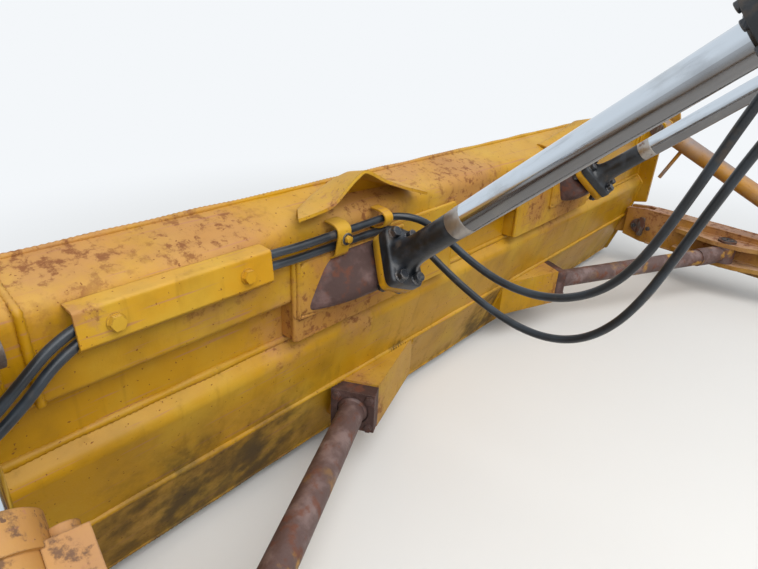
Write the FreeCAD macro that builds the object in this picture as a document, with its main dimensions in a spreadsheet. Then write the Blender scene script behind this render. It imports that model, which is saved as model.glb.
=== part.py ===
import FreeCAD, Part
import Sketcher
import math
import os

# Bulldozer blade assembly: the blade with its push arms, braces, lift and tilt cylinders.
# Sizes are in millimetres in the blade frame: x to the left side of the machine, y to the
# rear, z up from the resting level of the cutting edge. The whole is then moved so that the
# centre of the left trunnion's mounting face is the origin.

V = FreeCAD.Vector
R = FreeCAD.Rotation
DOC = FreeCAD.newDocument("blade_assembly")
SHEET = DOC.addObject("Spreadsheet::Sheet", "Sizes")

# Half width of the blade between its end plates, the end plates' thickness and the small
# gap between pieces that touch; the arms, their bearings and the frame follow from them.
HALF = 1960.0
END_THICK = 25.0
FIT = 0.3
ARM_WIDE = 110.0
ARM_OUT = HALF + END_THICK
ARM_IN = ARM_OUT - ARM_WIDE
BEARING = (ARM_IN + 55.0, 2300.0, 210.0)
FRAME_X = BEARING[0] - 280.0
SHIFT = V(-FRAME_X, -BEARING[1], -BEARING[2])
COUNT = {"row": 0, "part": 0}
NODES = []
SIDES = (("left", 1.0), ("right", -1.0))


def size(name, value):
    """Keep one size in the sheet under a plain name and return its expression."""
    COUNT["row"] += 1
    row = COUNT["row"]
    SHEET.set("A%d" % row, name)
    SHEET.set("B%d" % row, "%.4f" % value)
    SHEET.setAlias("B%d" % row, name)
    return "Sizes." + name


def fresh(stem):
    """Return a name not used before."""
    COUNT["part"] += 1
    return "%s_n%d" % (stem, COUNT["part"])


def node(obj, name):
    """Name a finished sub-part and move it to the shared frame."""
    obj.Label = name
    place = obj.Placement
    obj.Placement = FreeCAD.Placement(place.Base + SHIFT, place.Rotation)
    NODES.append(obj)
    return obj


def draw(sketch, stem, points):
    """Draw a closed outline whose corners are all bound to the sheet."""
    count = len(points)
    lines = []
    for i in range(count):
        a = points[i]
        b = points[(i + 1) % count]
        lines.append(Part.LineSegment(V(a[0], a[1], 0.0), V(b[0], b[1], 0.0)))
    sketch.addGeometry(lines, False)
    for i in range(count):
        sketch.addConstraint(Sketcher.Constraint("Coincident", i, 2, (i + 1) % count, 1))
    for i in range(count):
        across = size("%s_across_%d" % (stem, i + 1), points[i][0])
        k = sketch.addConstraint(Sketcher.Constraint("DistanceX", -1, 1, i, 1, points[i][0]))
        sketch.setExpression("Constraints[%d]" % k, across)
        along = size("%s_along_%d" % (stem, i + 1), points[i][1])
        k = sketch.addConstraint(Sketcher.Constraint("DistanceY", -1, 1, i, 1, points[i][1]))
        sketch.setExpression("Constraints[%d]" % k, along)


def plane_of(body, role):
    """Return the body's own origin plane of one role."""
    for feature in body.Origin.OriginFeatures:
        if feature.Role == role:
            return feature
    raise RuntimeError("plane missing: " + role)


AXES = {"YZ_Plane": (V(0, 1, 0), V(0, 0, 1), V(1, 0, 0)),
        "XZ_Plane": (V(1, 0, 0), V(0, 0, 1), V(0, -1, 0)),
        "XY_Plane": (V(1, 0, 0), V(0, 1, 0), V(0, 0, 1))}


def edges_at(shape, role, spot):
    """Return the names of the edges along the plane's normal that pass one spot."""
    across, along, normal = AXES[role]
    names = []
    for i, edge in enumerate(shape.Edges):
        if len(edge.Vertexes) != 2:
            continue
        a = edge.Vertexes[0].Point
        b = edge.Vertexes[1].Point
        run = b - a
        if run.Length < 1.0 or abs(run.normalize().dot(normal)) < 0.999:
            continue
        if abs(a.dot(across) - spot[0]) < 0.6 and abs(a.dot(along) - spot[1]) < 0.6:
            names.append("Edge%d" % (i + 1))
    return names


def body_pad(stem, role, points, start, length, rounds=()):
    """Build a body padded from one outline, with rounded corners along its length."""
    stem = fresh(stem)
    body = DOC.addObject("PartDesign::Body", stem + "_body")
    sketch = body.newObject("Sketcher::SketchObject", stem + "_outline")
    sketch.AttachmentSupport = (plane_of(body, role), [""])
    sketch.MapMode = "FlatFace"
    draw(sketch, stem, points)
    sketch.setExpression("AttachmentOffset.Base.z", size(stem + "_start", start))
    pad = body.newObject("PartDesign::Pad", stem + "_pad")
    pad.Profile = sketch
    pad.setExpression("Length", size(stem + "_length", length))
    body.Tip = pad
    last = pad
    radii = sorted(set(item[2] for item in rounds))
    if radii:
        SHEET.recompute()
        sketch.recompute()
        pad.recompute()
    for number, radius in enumerate(radii):
        names = []
        for item in rounds:
            if item[2] == radius:
                names += edges_at(last.Shape, role, item)
        if not names:
            raise RuntimeError("no edge to round on " + stem)
        fillet = body.newObject("PartDesign::Fillet", "%s_round_%d" % (stem, number + 1))
        fillet.Base = (last, names)
        fillet.setExpression("Radius", size("%s_radius_%d" % (stem, number + 1), radius))
        body.Tip = fillet
        SHEET.recompute()
        fillet.recompute()
        last = fillet
    return body


def across_x(stem, points, x0, x1, side=1.0, rounds=()):
    """Pad an outline drawn in the side view from x0 to x1, mirrored for the right."""
    start = x0 if side > 0 else -x1
    return body_pad(stem, "YZ_Plane", points, start, x1 - x0, rounds)


def upward(stem, points, z0, z1, side=1.0, rounds=()):
    """Pad an outline drawn in plan from z0 to z1, mirrored for the right."""
    flat = [(side * p[0], p[1]) for p in points]
    soft = [(side * p[0], p[1], p[2]) for p in rounds]
    return body_pad(stem, "XY_Plane", flat, z0, z1 - z0, soft)


def rearward(stem, points, y0, y1, rounds=()):
    """Pad an outline drawn in the rear view from y0 to y1."""
    return body_pad(stem, "XZ_Plane", points, -y1, y1 - y0, rounds)


def block(stem, low, high):
    """Build a box between two corners."""
    stem = fresh(stem)
    box = DOC.addObject("Part::Box", stem)
    x0, x1 = sorted((low[0], high[0]))
    box.Placement = FreeCAD.Placement(V(x0, low[1], low[2]), R())
    box.setExpression("Length", size(stem + "_length", x1 - x0))
    box.setExpression("Width", size(stem + "_width", high[1] - low[1]))
    box.setExpression("Height", size(stem + "_height", high[2] - low[2]))
    return box


def turn_to(direction):
    """Return the turn that takes the vertical to one direction."""
    return R(V(0, 0, 1), direction)


def bar(stem, start, end, radius):
    """Build a round bar between two points."""
    stem = fresh(stem)
    a = V(*start)
    b = V(*end)
    cyl = DOC.addObject("Part::Cylinder", stem)
    cyl.Placement = FreeCAD.Placement(a, turn_to(b - a))
    cyl.setExpression("Radius", size(stem + "_radius", radius))
    cyl.setExpression("Height", size(stem + "_height", (b - a).Length))
    return cyl


def cone(stem, start, end, first, second):
    """Build a cone frustum between two points."""
    stem = fresh(stem)
    a = V(*start)
    b = V(*end)
    obj = DOC.addObject("Part::Cone", stem)
    obj.Placement = FreeCAD.Placement(a, turn_to(b - a))
    obj.setExpression("Radius1", size(stem + "_first", first))
    obj.setExpression("Radius2", size(stem + "_second", second))
    obj.setExpression("Height", size(stem + "_height", (b - a).Length))
    return obj


def ball(stem, centre, radius, way=(0.0, 0.0, 1.0)):
    """Build a sphere whose poles lie along one direction."""
    stem = fresh(stem)
    obj = DOC.addObject("Part::Sphere", stem)
    obj.Placement = FreeCAD.Placement(V(*centre), turn_to(V(*way)))
    obj.setExpression("Radius", size(stem + "_radius", radius))
    return obj


def slab(stem, centre, turn, sizes, offset=0.0):
    """Build a box centred on a point in a turned frame, its low face at an offset along z."""
    stem = fresh(stem)
    box = DOC.addObject("Part::Box", stem)
    base = turn.multVec(V(-sizes[0] / 2.0, -sizes[1] / 2.0, offset))
    box.Placement = FreeCAD.Placement(V(*centre) + base, turn)
    box.setExpression("Length", size(stem + "_length", sizes[0]))
    box.setExpression("Width", size(stem + "_width", sizes[1]))
    box.setExpression("Height", size(stem + "_height", sizes[2]))
    return box


def hexagon(stem, start, direction, across, height):
    """Build a hexagonal bolt head standing on a face."""
    stem = fresh(stem)
    prism = DOC.addObject("Part::Prism", stem)
    prism.Polygon = 6
    prism.Placement = FreeCAD.Placement(V(*start), turn_to(V(*direction)))
    prism.setExpression("Circumradius", size(stem + "_radius", across / math.sqrt(3.0)))
    prism.setExpression("Height", size(stem + "_height", height))
    return prism


def join(stem, shapes):
    """Fuse several shapes."""
    if len(shapes) == 1:
        return shapes[0]
    obj = DOC.addObject("Part::MultiFuse", fresh(stem))
    obj.Shapes = shapes
    obj.Refine = True
    return obj


def cut(stem, base, tools):
    """Take tools away from a base."""
    obj = base
    for tool in tools:
        part = DOC.addObject("Part::Cut", fresh(stem))
        part.Base = obj
        part.Tool = tool
        part.Refine = True
        obj = part
    return obj


def at(start, direction, distance):
    """Return the point a distance along a direction."""
    return tuple(start[i] + direction[i] * distance for i in range(3))


def unit(vector):
    """Return a vector scaled to length one."""
    length = math.sqrt(sum(v * v for v in vector))
    return tuple(v / length for v in vector)


# The curved mouldboard: a sector of a tube about a line in front of the blade.

CURVE_R = 1000.0
CURVE_Y = 97.0 - CURVE_R
CURVE_Z = 550.0
SHELL = 16.0
FOOT_Z = 143.2
CREST_Z = 971.3
LOW = math.degrees(math.asin((FOOT_Z - CURVE_Z) / (CURVE_R + SHELL)))
HIGH = math.degrees(math.asin((CREST_Z - CURVE_Z) / (CURVE_R + SHELL)))


def rear_y(z):
    """Return where the mouldboard's rear face lies at one height."""
    return CURVE_Y + math.sqrt((CURVE_R + SHELL) ** 2 - (z - CURVE_Z) ** 2)


FOOT_Y = rear_y(FOOT_Z)
CREST_Y = rear_y(CREST_Z)
BEYOND = HALF + 140.0

# The inner corner of the mouldboard's foot, and the rear face of the cutting edge, which
# runs from the mouldboard's front face past that corner to the ground.

FOOT_IN_Y = CURVE_Y + CURVE_R * math.cos(math.radians(LOW))
FOOT_IN_Z = CURVE_Z + CURVE_R * math.sin(math.radians(LOW))
EDGE_HIGH = 215.1
EDGE_TOP = CURVE_Y + math.sqrt(CURVE_R ** 2 - (EDGE_HIGH - CURVE_Z) ** 2) - FIT
EDGE_LEAN = (EDGE_TOP - FOOT_IN_Y + 0.4) / (EDGE_HIGH - FOOT_IN_Z)
EDGE_LOW = FOOT_IN_Y - 0.4 - EDGE_LEAN * FOOT_IN_Z


def sector(stem, radius, low, high, half):
    """Build a sector of a cylinder about the mouldboard's line."""
    stem = fresh(stem)
    cyl = DOC.addObject("Part::Cylinder", stem)
    a = math.radians(low)
    ex = V(0, math.cos(a), math.sin(a))
    ez = V(1, 0, 0)
    ey = ez.cross(ex)
    frame = FreeCAD.Placement(V(-half, CURVE_Y, CURVE_Z), R(ex, ey, ez, "ZXY"))
    cyl.Placement = frame
    cyl.setExpression("Radius", size(stem + "_radius", radius))
    cyl.setExpression("Height", size(stem + "_height", 2.0 * half))
    cyl.setExpression("Angle", size(stem + "_sweep", high - low))
    return cyl


outer = sector("shell_outer", CURVE_R + SHELL, LOW, HIGH, HALF)
inner = sector("shell_inner", CURVE_R, -40.0, 40.0, HALF + 20.0)
mouldboard = cut("mouldboard", outer, [inner])
node(mouldboard, "mouldboard")


def front_tool():
    """Return the space in front of the mouldboard's rear face, with a small gap."""
    return sector("front_space", CURVE_R + SHELL + FIT, -60.0, 60.0, BEYOND)


# Bars and plates along the blade.

toe = across_x("toe_bar", [(FOOT_IN_Y - 0.1, FOOT_IN_Z - FIT),
                           (EDGE_LOW + EDGE_LEAN * 62.0 + FIT, 62.0),
                           (FOOT_Y - 6.1, 53.0), (FOOT_Y - 0.1, FOOT_Z - FIT)],
               -HALF, HALF)
node(toe, "toe_bar")

BIT_WIDE = 325.0
edge = across_x("cutting_edge", [(EDGE_TOP, EDGE_HIGH), (EDGE_LOW, 0.0),
                                 (EDGE_LOW - 23.7, 0.0), (EDGE_TOP - 20.4, EDGE_HIGH + 8.1)],
                BIT_WIDE + 0.5 - HALF, HALF - BIT_WIDE - 0.5)
node(edge, "cutting_edge")

for name, side in SIDES:
    bit = across_x("end_bit", [(EDGE_TOP, EDGE_HIGH), (EDGE_LOW, 0.0),
                               (EDGE_LOW - 32.3, 0.0), (EDGE_TOP - 27.9, EDGE_HIGH + 11.0)],
                   HALF - BIT_WIDE + 0.5, ARM_OUT, side)
    node(bit, "end_bit_" + name)

END = [(FOOT_Y - 54.1, 46.0), (FOOT_Y + 12.5, 214.5), (rear_y(229.0) - 19.0, 229.0)]
END += [(rear_y(z) - 26.0, z) for z in (240.0, 345.0, 455.0, 550.0, 645.0, 755.0, 860.0)]
END += [(CREST_Y - 24.5, 968.0), (CREST_Y - 15.5, 984.0)]
END += [(60.0, 985.0), (200.0, 1072.0), (246.0, 1072.0),
        (285.0, 976.0), (300.0, 925.0), (290.0, 870.0), (222.0, 790.0), (222.0, 420.0),
        (146.0, 404.0), (136.0, 323.0), (FOOT_Y + 17.0, 46.0)]
for name, side in SIDES:
    plate = across_x("end_plate", END, HALF + FIT, ARM_OUT, side,
                     [(246.0, 1072.0, 18.0), (200.0, 1072.0, 30.0), (60.0, 985.0, 40.0),
                      (300.0, 925.0, 30.0), (290.0, 870.0, 30.0), (222.0, 790.0, 30.0)])
    node(plate, "end_plate_" + name)

box = across_x("upper_box", [(CREST_Y - 3.5, 974.3), (176.0, 928.0), (176.0, 717.0), (125.3, 703.0),
                             (125.3, 715.5), (164.0, 726.1), (164.0, 919.0),
                             (CREST_Y - 6.9, 962.8)],
               -HALF, HALF, 1.0,
               [(176.0, 928.0, 50.0), (164.0, 919.0, 38.0),
                (176.0, 717.0, 18.0), (164.0, 726.1, 6.0)])
upper = cut("upper_box", box, [front_tool()])
node(upper, "upper_box")

recess = block("recess_plate", (-HALF, 113.5, 556.0), (HALF, 125.0, 712.0))
node(recess, "recess_plate")

lower = across_x("lower_box", [(125.3, 580.0), (168.0, 543.0), (125.0, 323.0),
                               (113.2, 325.3), (154.9, 538.5), (125.3, 564.1)],
                 -HALF, HALF, 1.0, [(168.0, 543.0, 40.0), (154.9, 538.5, 28.0)])
node(lower, "lower_box")

bevel = across_x("bevel_plate", [(124.6, 322.6), (FOOT_Y + 6.0, 50.0), (FOOT_Y - 5.4, 53.8),
                              (112.7, 324.8)],
                 -HALF, HALF)
node(bevel, "bevel_plate")

# The space the blade fills, with a small gap, used to fit brackets to its rear.

ENVELOPE = [(-300.0, -50.0), (FOOT_Y + 2.9, -50.0), (FOOT_Y + 2.9, 50.0),
            (FOOT_Y + 6.3, 50.0), (125.4, 322.6),
            (148.0, 437.0), (168.4, 543.0), (125.4, 580.4), (125.4, 702.6), (176.4, 716.7),
            (176.4, 928.3), (CREST_Y + 4.5, 972.4), (-300.0, 1068.0)]


SPACE = across_x("blade_space", ENVELOPE, -BEYOND, BEYOND)


def blade_space():
    """Return the space of the blade's rear outline as a cutting tool."""
    return SPACE


# Pads, ball mounts and roofs over the lift cylinders' joints.

BALL_X = 705.0
BALL_Y = 304.0
BALL_Z = 801.0
RISE = math.radians(41.0)
BALL_R = 52.0
NECK_R = 32.0
PAD_IN = BALL_X - 460.0
PAD_OUT = BALL_X + 278.0

for name, side in SIDES:
    face = block("pad_face", (side * PAD_IN, 176.3, 597.0), (side * PAD_OUT, 188.0, 850.0))
    parts = [face]
    wall = [(125.3, 597.0), (176.5, 597.0), (176.5, 716.2), (125.3, 702.2)]
    parts.append(across_x("pad_wall", wall, PAD_IN, PAD_IN + 12.0, side))
    parts.append(across_x("pad_wall", wall, PAD_OUT - 12.0, PAD_OUT, side))
    parts.append(block("pad_floor", (side * PAD_IN, 125.3, 597.0),
                       (side * PAD_OUT, 176.5, 609.0)))
    node(join("lift_pad", parts), "lift_pad_" + name)

    centre = (side * BALL_X, BALL_Y, BALL_Z)
    along = (0.0, math.cos(RISE), math.sin(RISE))
    back = (0.0, -along[1], -along[2])
    plate = upward("ball_base", [(BALL_X - 250.0, 188.3), (BALL_X + 250.0, 188.3),
                                 (BALL_X + 232.0, 206.0), (BALL_X - 232.0, 206.0)],
                   664.0, 820.0, side)
    low = DOC.addObject("Part::Ellipse", fresh("boss_base"))
    low.Placement = FreeCAD.Placement(V(side * BALL_X, 204.0, 742.0),
                                      R(V(1, 0, 0), V(0, 0, 1), V(0, -1, 0), "ZXY"))
    low.setExpression("MajorRadius", size(low.Name + "_wide", 150.0))
    low.setExpression("MinorRadius", size(low.Name + "_tall", 62.0))
    mid = DOC.addObject("Part::Ellipse", fresh("boss_middle"))
    mid_at = at(centre, back, 72.0)
    mid.Placement = FreeCAD.Placement(V(*mid_at),
                                      R(V(1, 0, 0), V(0, -0.436, 0.9), V(0, -0.9, -0.436),
                                        "ZXY"))
    mid.setExpression("MajorRadius", size(mid.Name + "_wide", 62.0))
    mid.setExpression("MinorRadius", size(mid.Name + "_tall", 40.0))
    boss = DOC.addObject("Part::Loft", fresh("ball_boss"))
    boss.Sections = [low, mid]
    boss.Solid = True
    boss.Ruled = True
    neck = cone("ball_neck", at(centre, back, 80.0), at(centre, back, 30.0), 38.0, NECK_R)
    head = ball("ball_head", centre, BALL_R, back)
    node(join("lift_ball", [plate, boss, neck, head]), "lift_ball_" + name)

    ridge = side * BALL_X
    tips = sorted((side * (BALL_X - 250.0), side * (BALL_X + 280.0)))
    roof = rearward("rod_guard", [(tips[0], 938.0), (ridge, 1036.0), (tips[1], 938.0),
                                  (tips[1], 950.5), (ridge, 1048.5), (tips[0], 950.5)],
                    52.0, 250.0, [(ridge, 1036.0, 58.0), (ridge, 1048.5, 70.0)])
    roof = cut("rod_guard", roof, [blade_space()])
    node(roof, "rod_guard_" + name)

GUARD_IN = PAD_OUT + 101.0
GUARD_OUT = HALF - 416.0
guard = across_x("hose_guard", [(173.4, 915.0), (219.0, 912.0), (228.0, 835.0),
                                (216.0, 823.0), (212.0, 827.5), (221.6, 836.5),
                                (213.4, 906.3), (173.4, 909.0)],
                 GUARD_IN, GUARD_OUT, 1.0, [(219.0, 912.0, 9.0), (228.0, 835.0, 7.0)])
bolts = [guard]
for x in (GUARD_IN + 74.0, GUARD_OUT - 74.0):
    bolts.append(bar("guard_washer", (x, 222.0, 868.0), (x, 227.0, 868.6), 19.0))
    bolts.append(hexagon("guard_bolt", (x, 226.5, 868.5), (0.0, 0.993, 0.117), 30.0, 13.0))
node(join("hose_guard", bolts), "hose_guard")

HOSE_R = 11.0
CLAMP_Z = 897.0
NEAR_Y = 190.5
FAR_Y = 215.0
clamps = []
for x, deep in ((820.0, FAR_Y), (694.0, NEAR_Y)):
    part = block("hose_clamp", (x - 15.0, 176.3, CLAMP_Z - 16.0),
                 (x + 15.0, deep + 16.5, CLAMP_Z + 16.0))
    drills = [bar("clamp_hole", (x - 60.0, NEAR_Y, CLAMP_Z), (x + 60.0, NEAR_Y, CLAMP_Z),
                  13.0)]
    if deep > NEAR_Y:
        drills.append(bar("clamp_hole", (x - 60.0, FAR_Y, CLAMP_Z), (x + 60.0, FAR_Y, CLAMP_Z),
                          13.0))
    foot = block("clamp_foot", (x - 15.0, 176.3, CLAMP_Z - 44.0),
                 (x + 15.0, 184.3, CLAMP_Z - 15.0))
    head = hexagon("clamp_bolt", (x, 184.2, CLAMP_Z - 30.0), (0.0, 1.0, 0.0), 19.0, 9.0)
    clamps += [cut("hose_clamp", join("hose_clamp", [part, foot, head]), drills)]
node(join("hose_clamps", clamps), "hose_clamps")

# Push arms with their front joints and rear ball housings.

LUG_X = BEARING[0]
PIN_Y = 235.0
PIN_Z = 285.0
PIN_R = 30.0
BALL_SEAT = 70.0


def arm_top(y):
    """Return the height of the push arm's top face at one station."""
    return 397.0 - 0.04 * (y - 300.0)


BRACE_PIN = (ARM_IN - 60.0, 755.0, 265.0)
LINK_A = (HALF - 202.0, 255.0, 915.0)
LINK_B = (ARM_IN + 23.0, 1130.0, 465.0)
PORT_X = LINK_A[0] + 139.0
PORT_Y = 575.0
EYE_HALF = 46.0
BRACE_PIN_R = 32.0
LINK_PIN_R = 28.0

for name, side in SIDES:
    bx = side * BEARING[0]
    hub = (bx, BEARING[1], BEARING[2])
    beam = across_x("arm_beam", [(150.0, arm_top(260.0) - 12.0), (262.0, arm_top(262.0)),
                                 (BEARING[1] - 38.0, arm_top(2262.0) - 3.0),
                                 (BEARING[1] - 38.0, arm_top(2262.0) - 211.0),
                                 (262.0, arm_top(262.0) - 215.0),
                                 (150.0, arm_top(260.0) - 190.0)],
                    ARM_IN, ARM_OUT, side)
    slot = block("arm_slot", (side * (LUG_X - 27.0), 100.0, 100.0),
                 (side * (LUG_X + 27.0), PIN_Y + 65.0, 480.0))
    bore = bar("arm_bore", (side * (LUG_X - 130.0), PIN_Y, PIN_Z),
               (side * (LUG_X + 120.0), PIN_Y, PIN_Z), PIN_R + 0.05)
    beam = cut("arm_beam", beam, [slot, bore])
    shell = bar("arm_hub", (bx - side * 50.0, BEARING[1], BEARING[2]),
                (bx + side * 82.0, BEARING[1], BEARING[2]), 114.0)
    lip = block("arm_lip", (bx - side * 44.0, BEARING[1] - 50.0, BEARING[2] - 148.0),
                (bx + side * 74.0, BEARING[1], BEARING[2] + 148.0))
    hub_part = join("arm_hub", [shell, lip])
    keep = block("arm_keep", (bx - side * 230.0, BEARING[1] - 0.2, BEARING[2] - 210.0),
                 (bx + side * 170.0, BEARING[1] + 200.0, BEARING[2] + 210.0))
    hollow = ball("arm_hollow", hub, BALL_SEAT + FIT)
    hub_part = cut("arm_hub", hub_part, [keep, hollow])
    beam = cut("arm_beam", beam, [ball("arm_hollow", hub, BALL_SEAT + 2.0)])
    solid = join("arm_end", [beam, hub_part])
    clevis = [(ARM_IN + 1.0, BRACE_PIN[1] - 285.0), (ARM_IN + 1.0, BRACE_PIN[1] + 335.0),
              (ARM_IN - 25.0, BRACE_PIN[1] + 335.0), (BRACE_PIN[0] - 48.0, BRACE_PIN[1] + 75.0),
              (BRACE_PIN[0] - 48.0, BRACE_PIN[1] - 67.0), (ARM_IN - 39.0, BRACE_PIN[1] - 285.0)]
    soft = [(clevis[3][0], clevis[3][1], 40.0), (clevis[4][0], clevis[4][1], 40.0)]
    up = upward("arm_clevis", clevis, BRACE_PIN[2] + EYE_HALF + 1.0,
                BRACE_PIN[2] + EYE_HALF + 26.0, side, soft)
    down = upward("arm_clevis", clevis, BRACE_PIN[2] - EYE_HALF - 26.0,
                  BRACE_PIN[2] - EYE_HALF - 1.0, side, soft)
    pin_hole = bar("clevis_hole", (side * BRACE_PIN[0], BRACE_PIN[1], BRACE_PIN[2] - 115.0),
                   (side * BRACE_PIN[0], BRACE_PIN[1], BRACE_PIN[2] + 115.0),
                   BRACE_PIN_R + 0.05)
    ear_y = LINK_B[1]
    ear_z = LINK_B[2]
    ear_shape = [(ear_y - 90.0, arm_top(ear_y - 90.0) - 6.0),
                 (ear_y + 90.0, arm_top(ear_y + 90.0) - 6.0),
                 (ear_y + 44.0, ear_z - 13.0), (ear_y + 34.0, ear_z + 37.0),
                 (ear_y, ear_z + 50.0), (ear_y - 34.0, ear_z + 37.0),
                 (ear_y - 44.0, ear_z - 13.0)]
    ears = []
    for low_x in (LINK_B[0] - 70.0, LINK_B[0] + 50.0):
        ears.append(across_x("arm_ear", ear_shape, low_x, low_x + 20.0, side))
    shelf = block("arm_shelf", (side * (LINK_B[0] - 72.0), ear_y - 90.0, arm_top(ear_y) - 30.0),
                  (side * (LINK_B[0] + 72.0), ear_y + 90.0, arm_top(ear_y) + 2.0))
    ear_hole = bar("ear_hole", (side * (LINK_B[0] - 118.0), ear_y, ear_z),
                   (side * (LINK_B[0] + 122.0), ear_y, ear_z), LINK_PIN_R + 0.05)
    arm = join("push_arm", [solid, up, down, shelf] + ears)
    arm = cut("push_arm", arm, [pin_hole, ear_hole])
    node(arm, "push_arm_" + name)

    lug_shape = [(60.0, 200.0), (190.0, PIN_Z - 67.0), (PIN_Y + 37.0, PIN_Z - 35.0),
                 (PIN_Y + 55.0, PIN_Z), (PIN_Y + 37.0, PIN_Z + 37.0), (190.0, PIN_Z + 77.0),
                 (90.0, 380.0)]
    lug = across_x("arm_lug", lug_shape, LUG_X - 26.0, LUG_X + 26.0, side)
    lug = cut("arm_lug", lug, [blade_space(),
                               bar("lug_bore", (side * (LUG_X - 130.0), PIN_Y, PIN_Z),
                                   (side * (LUG_X + 120.0), PIN_Y, PIN_Z), PIN_R + 0.05)])
    node(lug, "arm_lug_" + name)

    pin = bar("arm_pin", (side * (ARM_IN - 7.0), PIN_Y, PIN_Z),
              (side * (LUG_X + 28.5), PIN_Y, PIN_Z), PIN_R)
    head = bar("arm_pin_head", (side * (ARM_IN - 13.0), PIN_Y, PIN_Z),
               (side * (ARM_IN - 0.5), PIN_Y, PIN_Z), PIN_R + 14.0)
    node(join("arm_pin", [pin, head]), "arm_pin_" + name)

    cap = bar("hub_cap", (bx - side * 50.0, BEARING[1], BEARING[2]),
              (bx + side * 82.0, BEARING[1], BEARING[2]), 112.0)
    lip = block("cap_lip", (bx - side * 44.0, BEARING[1] + 0.2, BEARING[2] - 148.0),
                (bx + side * 74.0, BEARING[1] + 42.0, BEARING[2] + 148.0))
    heads = []
    for x in (-14.0, 44.0):
        for z in (-132.0, 132.0):
            heads.append(hexagon("cap_bolt", (bx + side * x, BEARING[1] + 41.5, BEARING[2] + z),
                                 (0.0, 1.0, 0.0), 30.0, 17.0))
    solid = join("trunnion_cap", [cap, lip] + heads)
    keep = block("cap_keep", (bx - side * 230.0, BEARING[1] - 300.0, BEARING[2] - 210.0),
                 (bx + side * 170.0, BEARING[1] + 0.2, BEARING[2] + 210.0))
    solid = cut("trunnion_cap", solid, [keep, ball("cap_hollow", hub, BALL_SEAT + FIT)])
    node(solid, "trunnion_cap_" + name)

    # Trunnion with a flange of four holes, fixed to the machine's frame.
    fx = side * FRAME_X
    base = block("trunnion_flange", (fx, BEARING[1] - 130.0, BEARING[2] - 130.0),
                 (fx + side * 30.0, BEARING[1] + 130.0, BEARING[2] + 130.0))
    stub = bar("trunnion_stub", (fx + side * 29.0, BEARING[1], BEARING[2]), hub, 42.0)
    root = cone("trunnion_root", (fx + side * 30.0, BEARING[1], BEARING[2]),
                (fx + side * 90.0, BEARING[1], BEARING[2]), 78.0, 42.0)
    knob = ball("trunnion_ball", hub, BALL_SEAT, (-side, 0.0, 0.0))
    drills = []
    for y in (BEARING[1] - 95.0, BEARING[1] + 95.0):
        for z in (BEARING[2] - 95.0, BEARING[2] + 95.0):
            drills.append(bar("flange_hole", (fx - side * 10.0, y, z),
                              (fx + side * 40.0, y, z), 13.5))
    solid = cut("trunnion", join("trunnion", [base, stub, root, knob]), drills)
    node(solid, "trunnion_" + name)

# Diagonal braces from brackets on the blade to pins on the arms.

B_START = (729.0, 186.0, 240.0)
B_END = BRACE_PIN
b_dir = unit((B_END[0] - B_START[0], B_END[1] - B_START[1], B_END[2] - B_START[2]))

for name, side in SIDES:
    start = (side * B_START[0], B_START[1], B_START[2])
    end = (side * B_END[0], B_END[1], B_END[2])
    way = (side * b_dir[0], b_dir[1], b_dir[2])
    flat = unit((way[0], way[1], 0.0))
    cross = (-flat[1], flat[0], 0.0)
    face = at(start, flat, -20.0)
    c_pt = at(face, cross, -side * 74.0)
    d_pt = at(face, cross, side * 74.0)
    plan = [(side * 345.0, 20.0), (side * 345.0, 122.0), (d_pt[0], d_pt[1]),
            (c_pt[0], c_pt[1]), (c_pt[0], 20.0)]
    outer = body_pad("brace_bracket", "XY_Plane", plan, 152.0, 170.0)
    tools = [blade_space(), ball("bracket_hollow", start, 58.4)]
    solid = cut("brace_bracket", outer, tools)
    node(solid, "brace_bracket_" + name)

    turn = R(V(*cross), V(0, 0, 1), V(*flat), "ZXY")
    plate = slab("brace_cap", at(face, flat, 0.3), turn, (150.0, 150.0, 52.0))
    hole = cone("cap_mouth", at(start, way, 8.0), at(start, way, 60.0), 50.0, 60.0)
    heads = []
    for u in (-56.0, 56.0):
        for w in (-56.0, 56.0):
            spot = at(at(face, cross, u), flat, 52.0)
            spot = (spot[0], spot[1], spot[2] + w)
            heads.append(hexagon("cap_bolt", spot, flat, 24.0, 13.0))
    solid = cut("brace_cap", join("brace_cap", [plate] + heads),
                [ball("cap_hollow", start, 58.4), hole, blade_space()])
    node(solid, "brace_cap_" + name)

    knob = ball("brace_ball", start, 58.0, way)
    tube = bar("brace_tube", at(start, way, 24.0), at(end, way, -36.0), 44.0)
    eye = bar("brace_eye", (end[0], end[1], end[2] - EYE_HALF),
              (end[0], end[1], end[2] + EYE_HALF), BRACE_PIN_R + 26.0)
    bore = bar("eye_bore", (end[0], end[1], end[2] - 115.0), (end[0], end[1], end[2] + 115.0),
               BRACE_PIN_R + 0.05)
    collar = bar("brace_collar", at(end, way, -215.0), at(end, way, -85.0), 50.0)
    solid = cut("brace", join("brace", [knob, tube, eye, collar]), [bore])
    node(solid, "brace_" + name)

    pin = bar("brace_pin", (end[0], end[1], end[2] - EYE_HALF - 33.0),
              (end[0], end[1], end[2] + EYE_HALF + 41.0), BRACE_PIN_R)
    ring = bar("pin_head", (end[0], end[1], end[2] + EYE_HALF + 26.0 + FIT),
               (end[0], end[1], end[2] + EYE_HALF + 38.0), BRACE_PIN_R + 16.0)
    node(join("brace_pin", [pin, ring]), "brace_pin_" + name)

# Upper links from the blade's top corners to the arms: a strut on the right and the
# tilt cylinder on the left.

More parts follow.
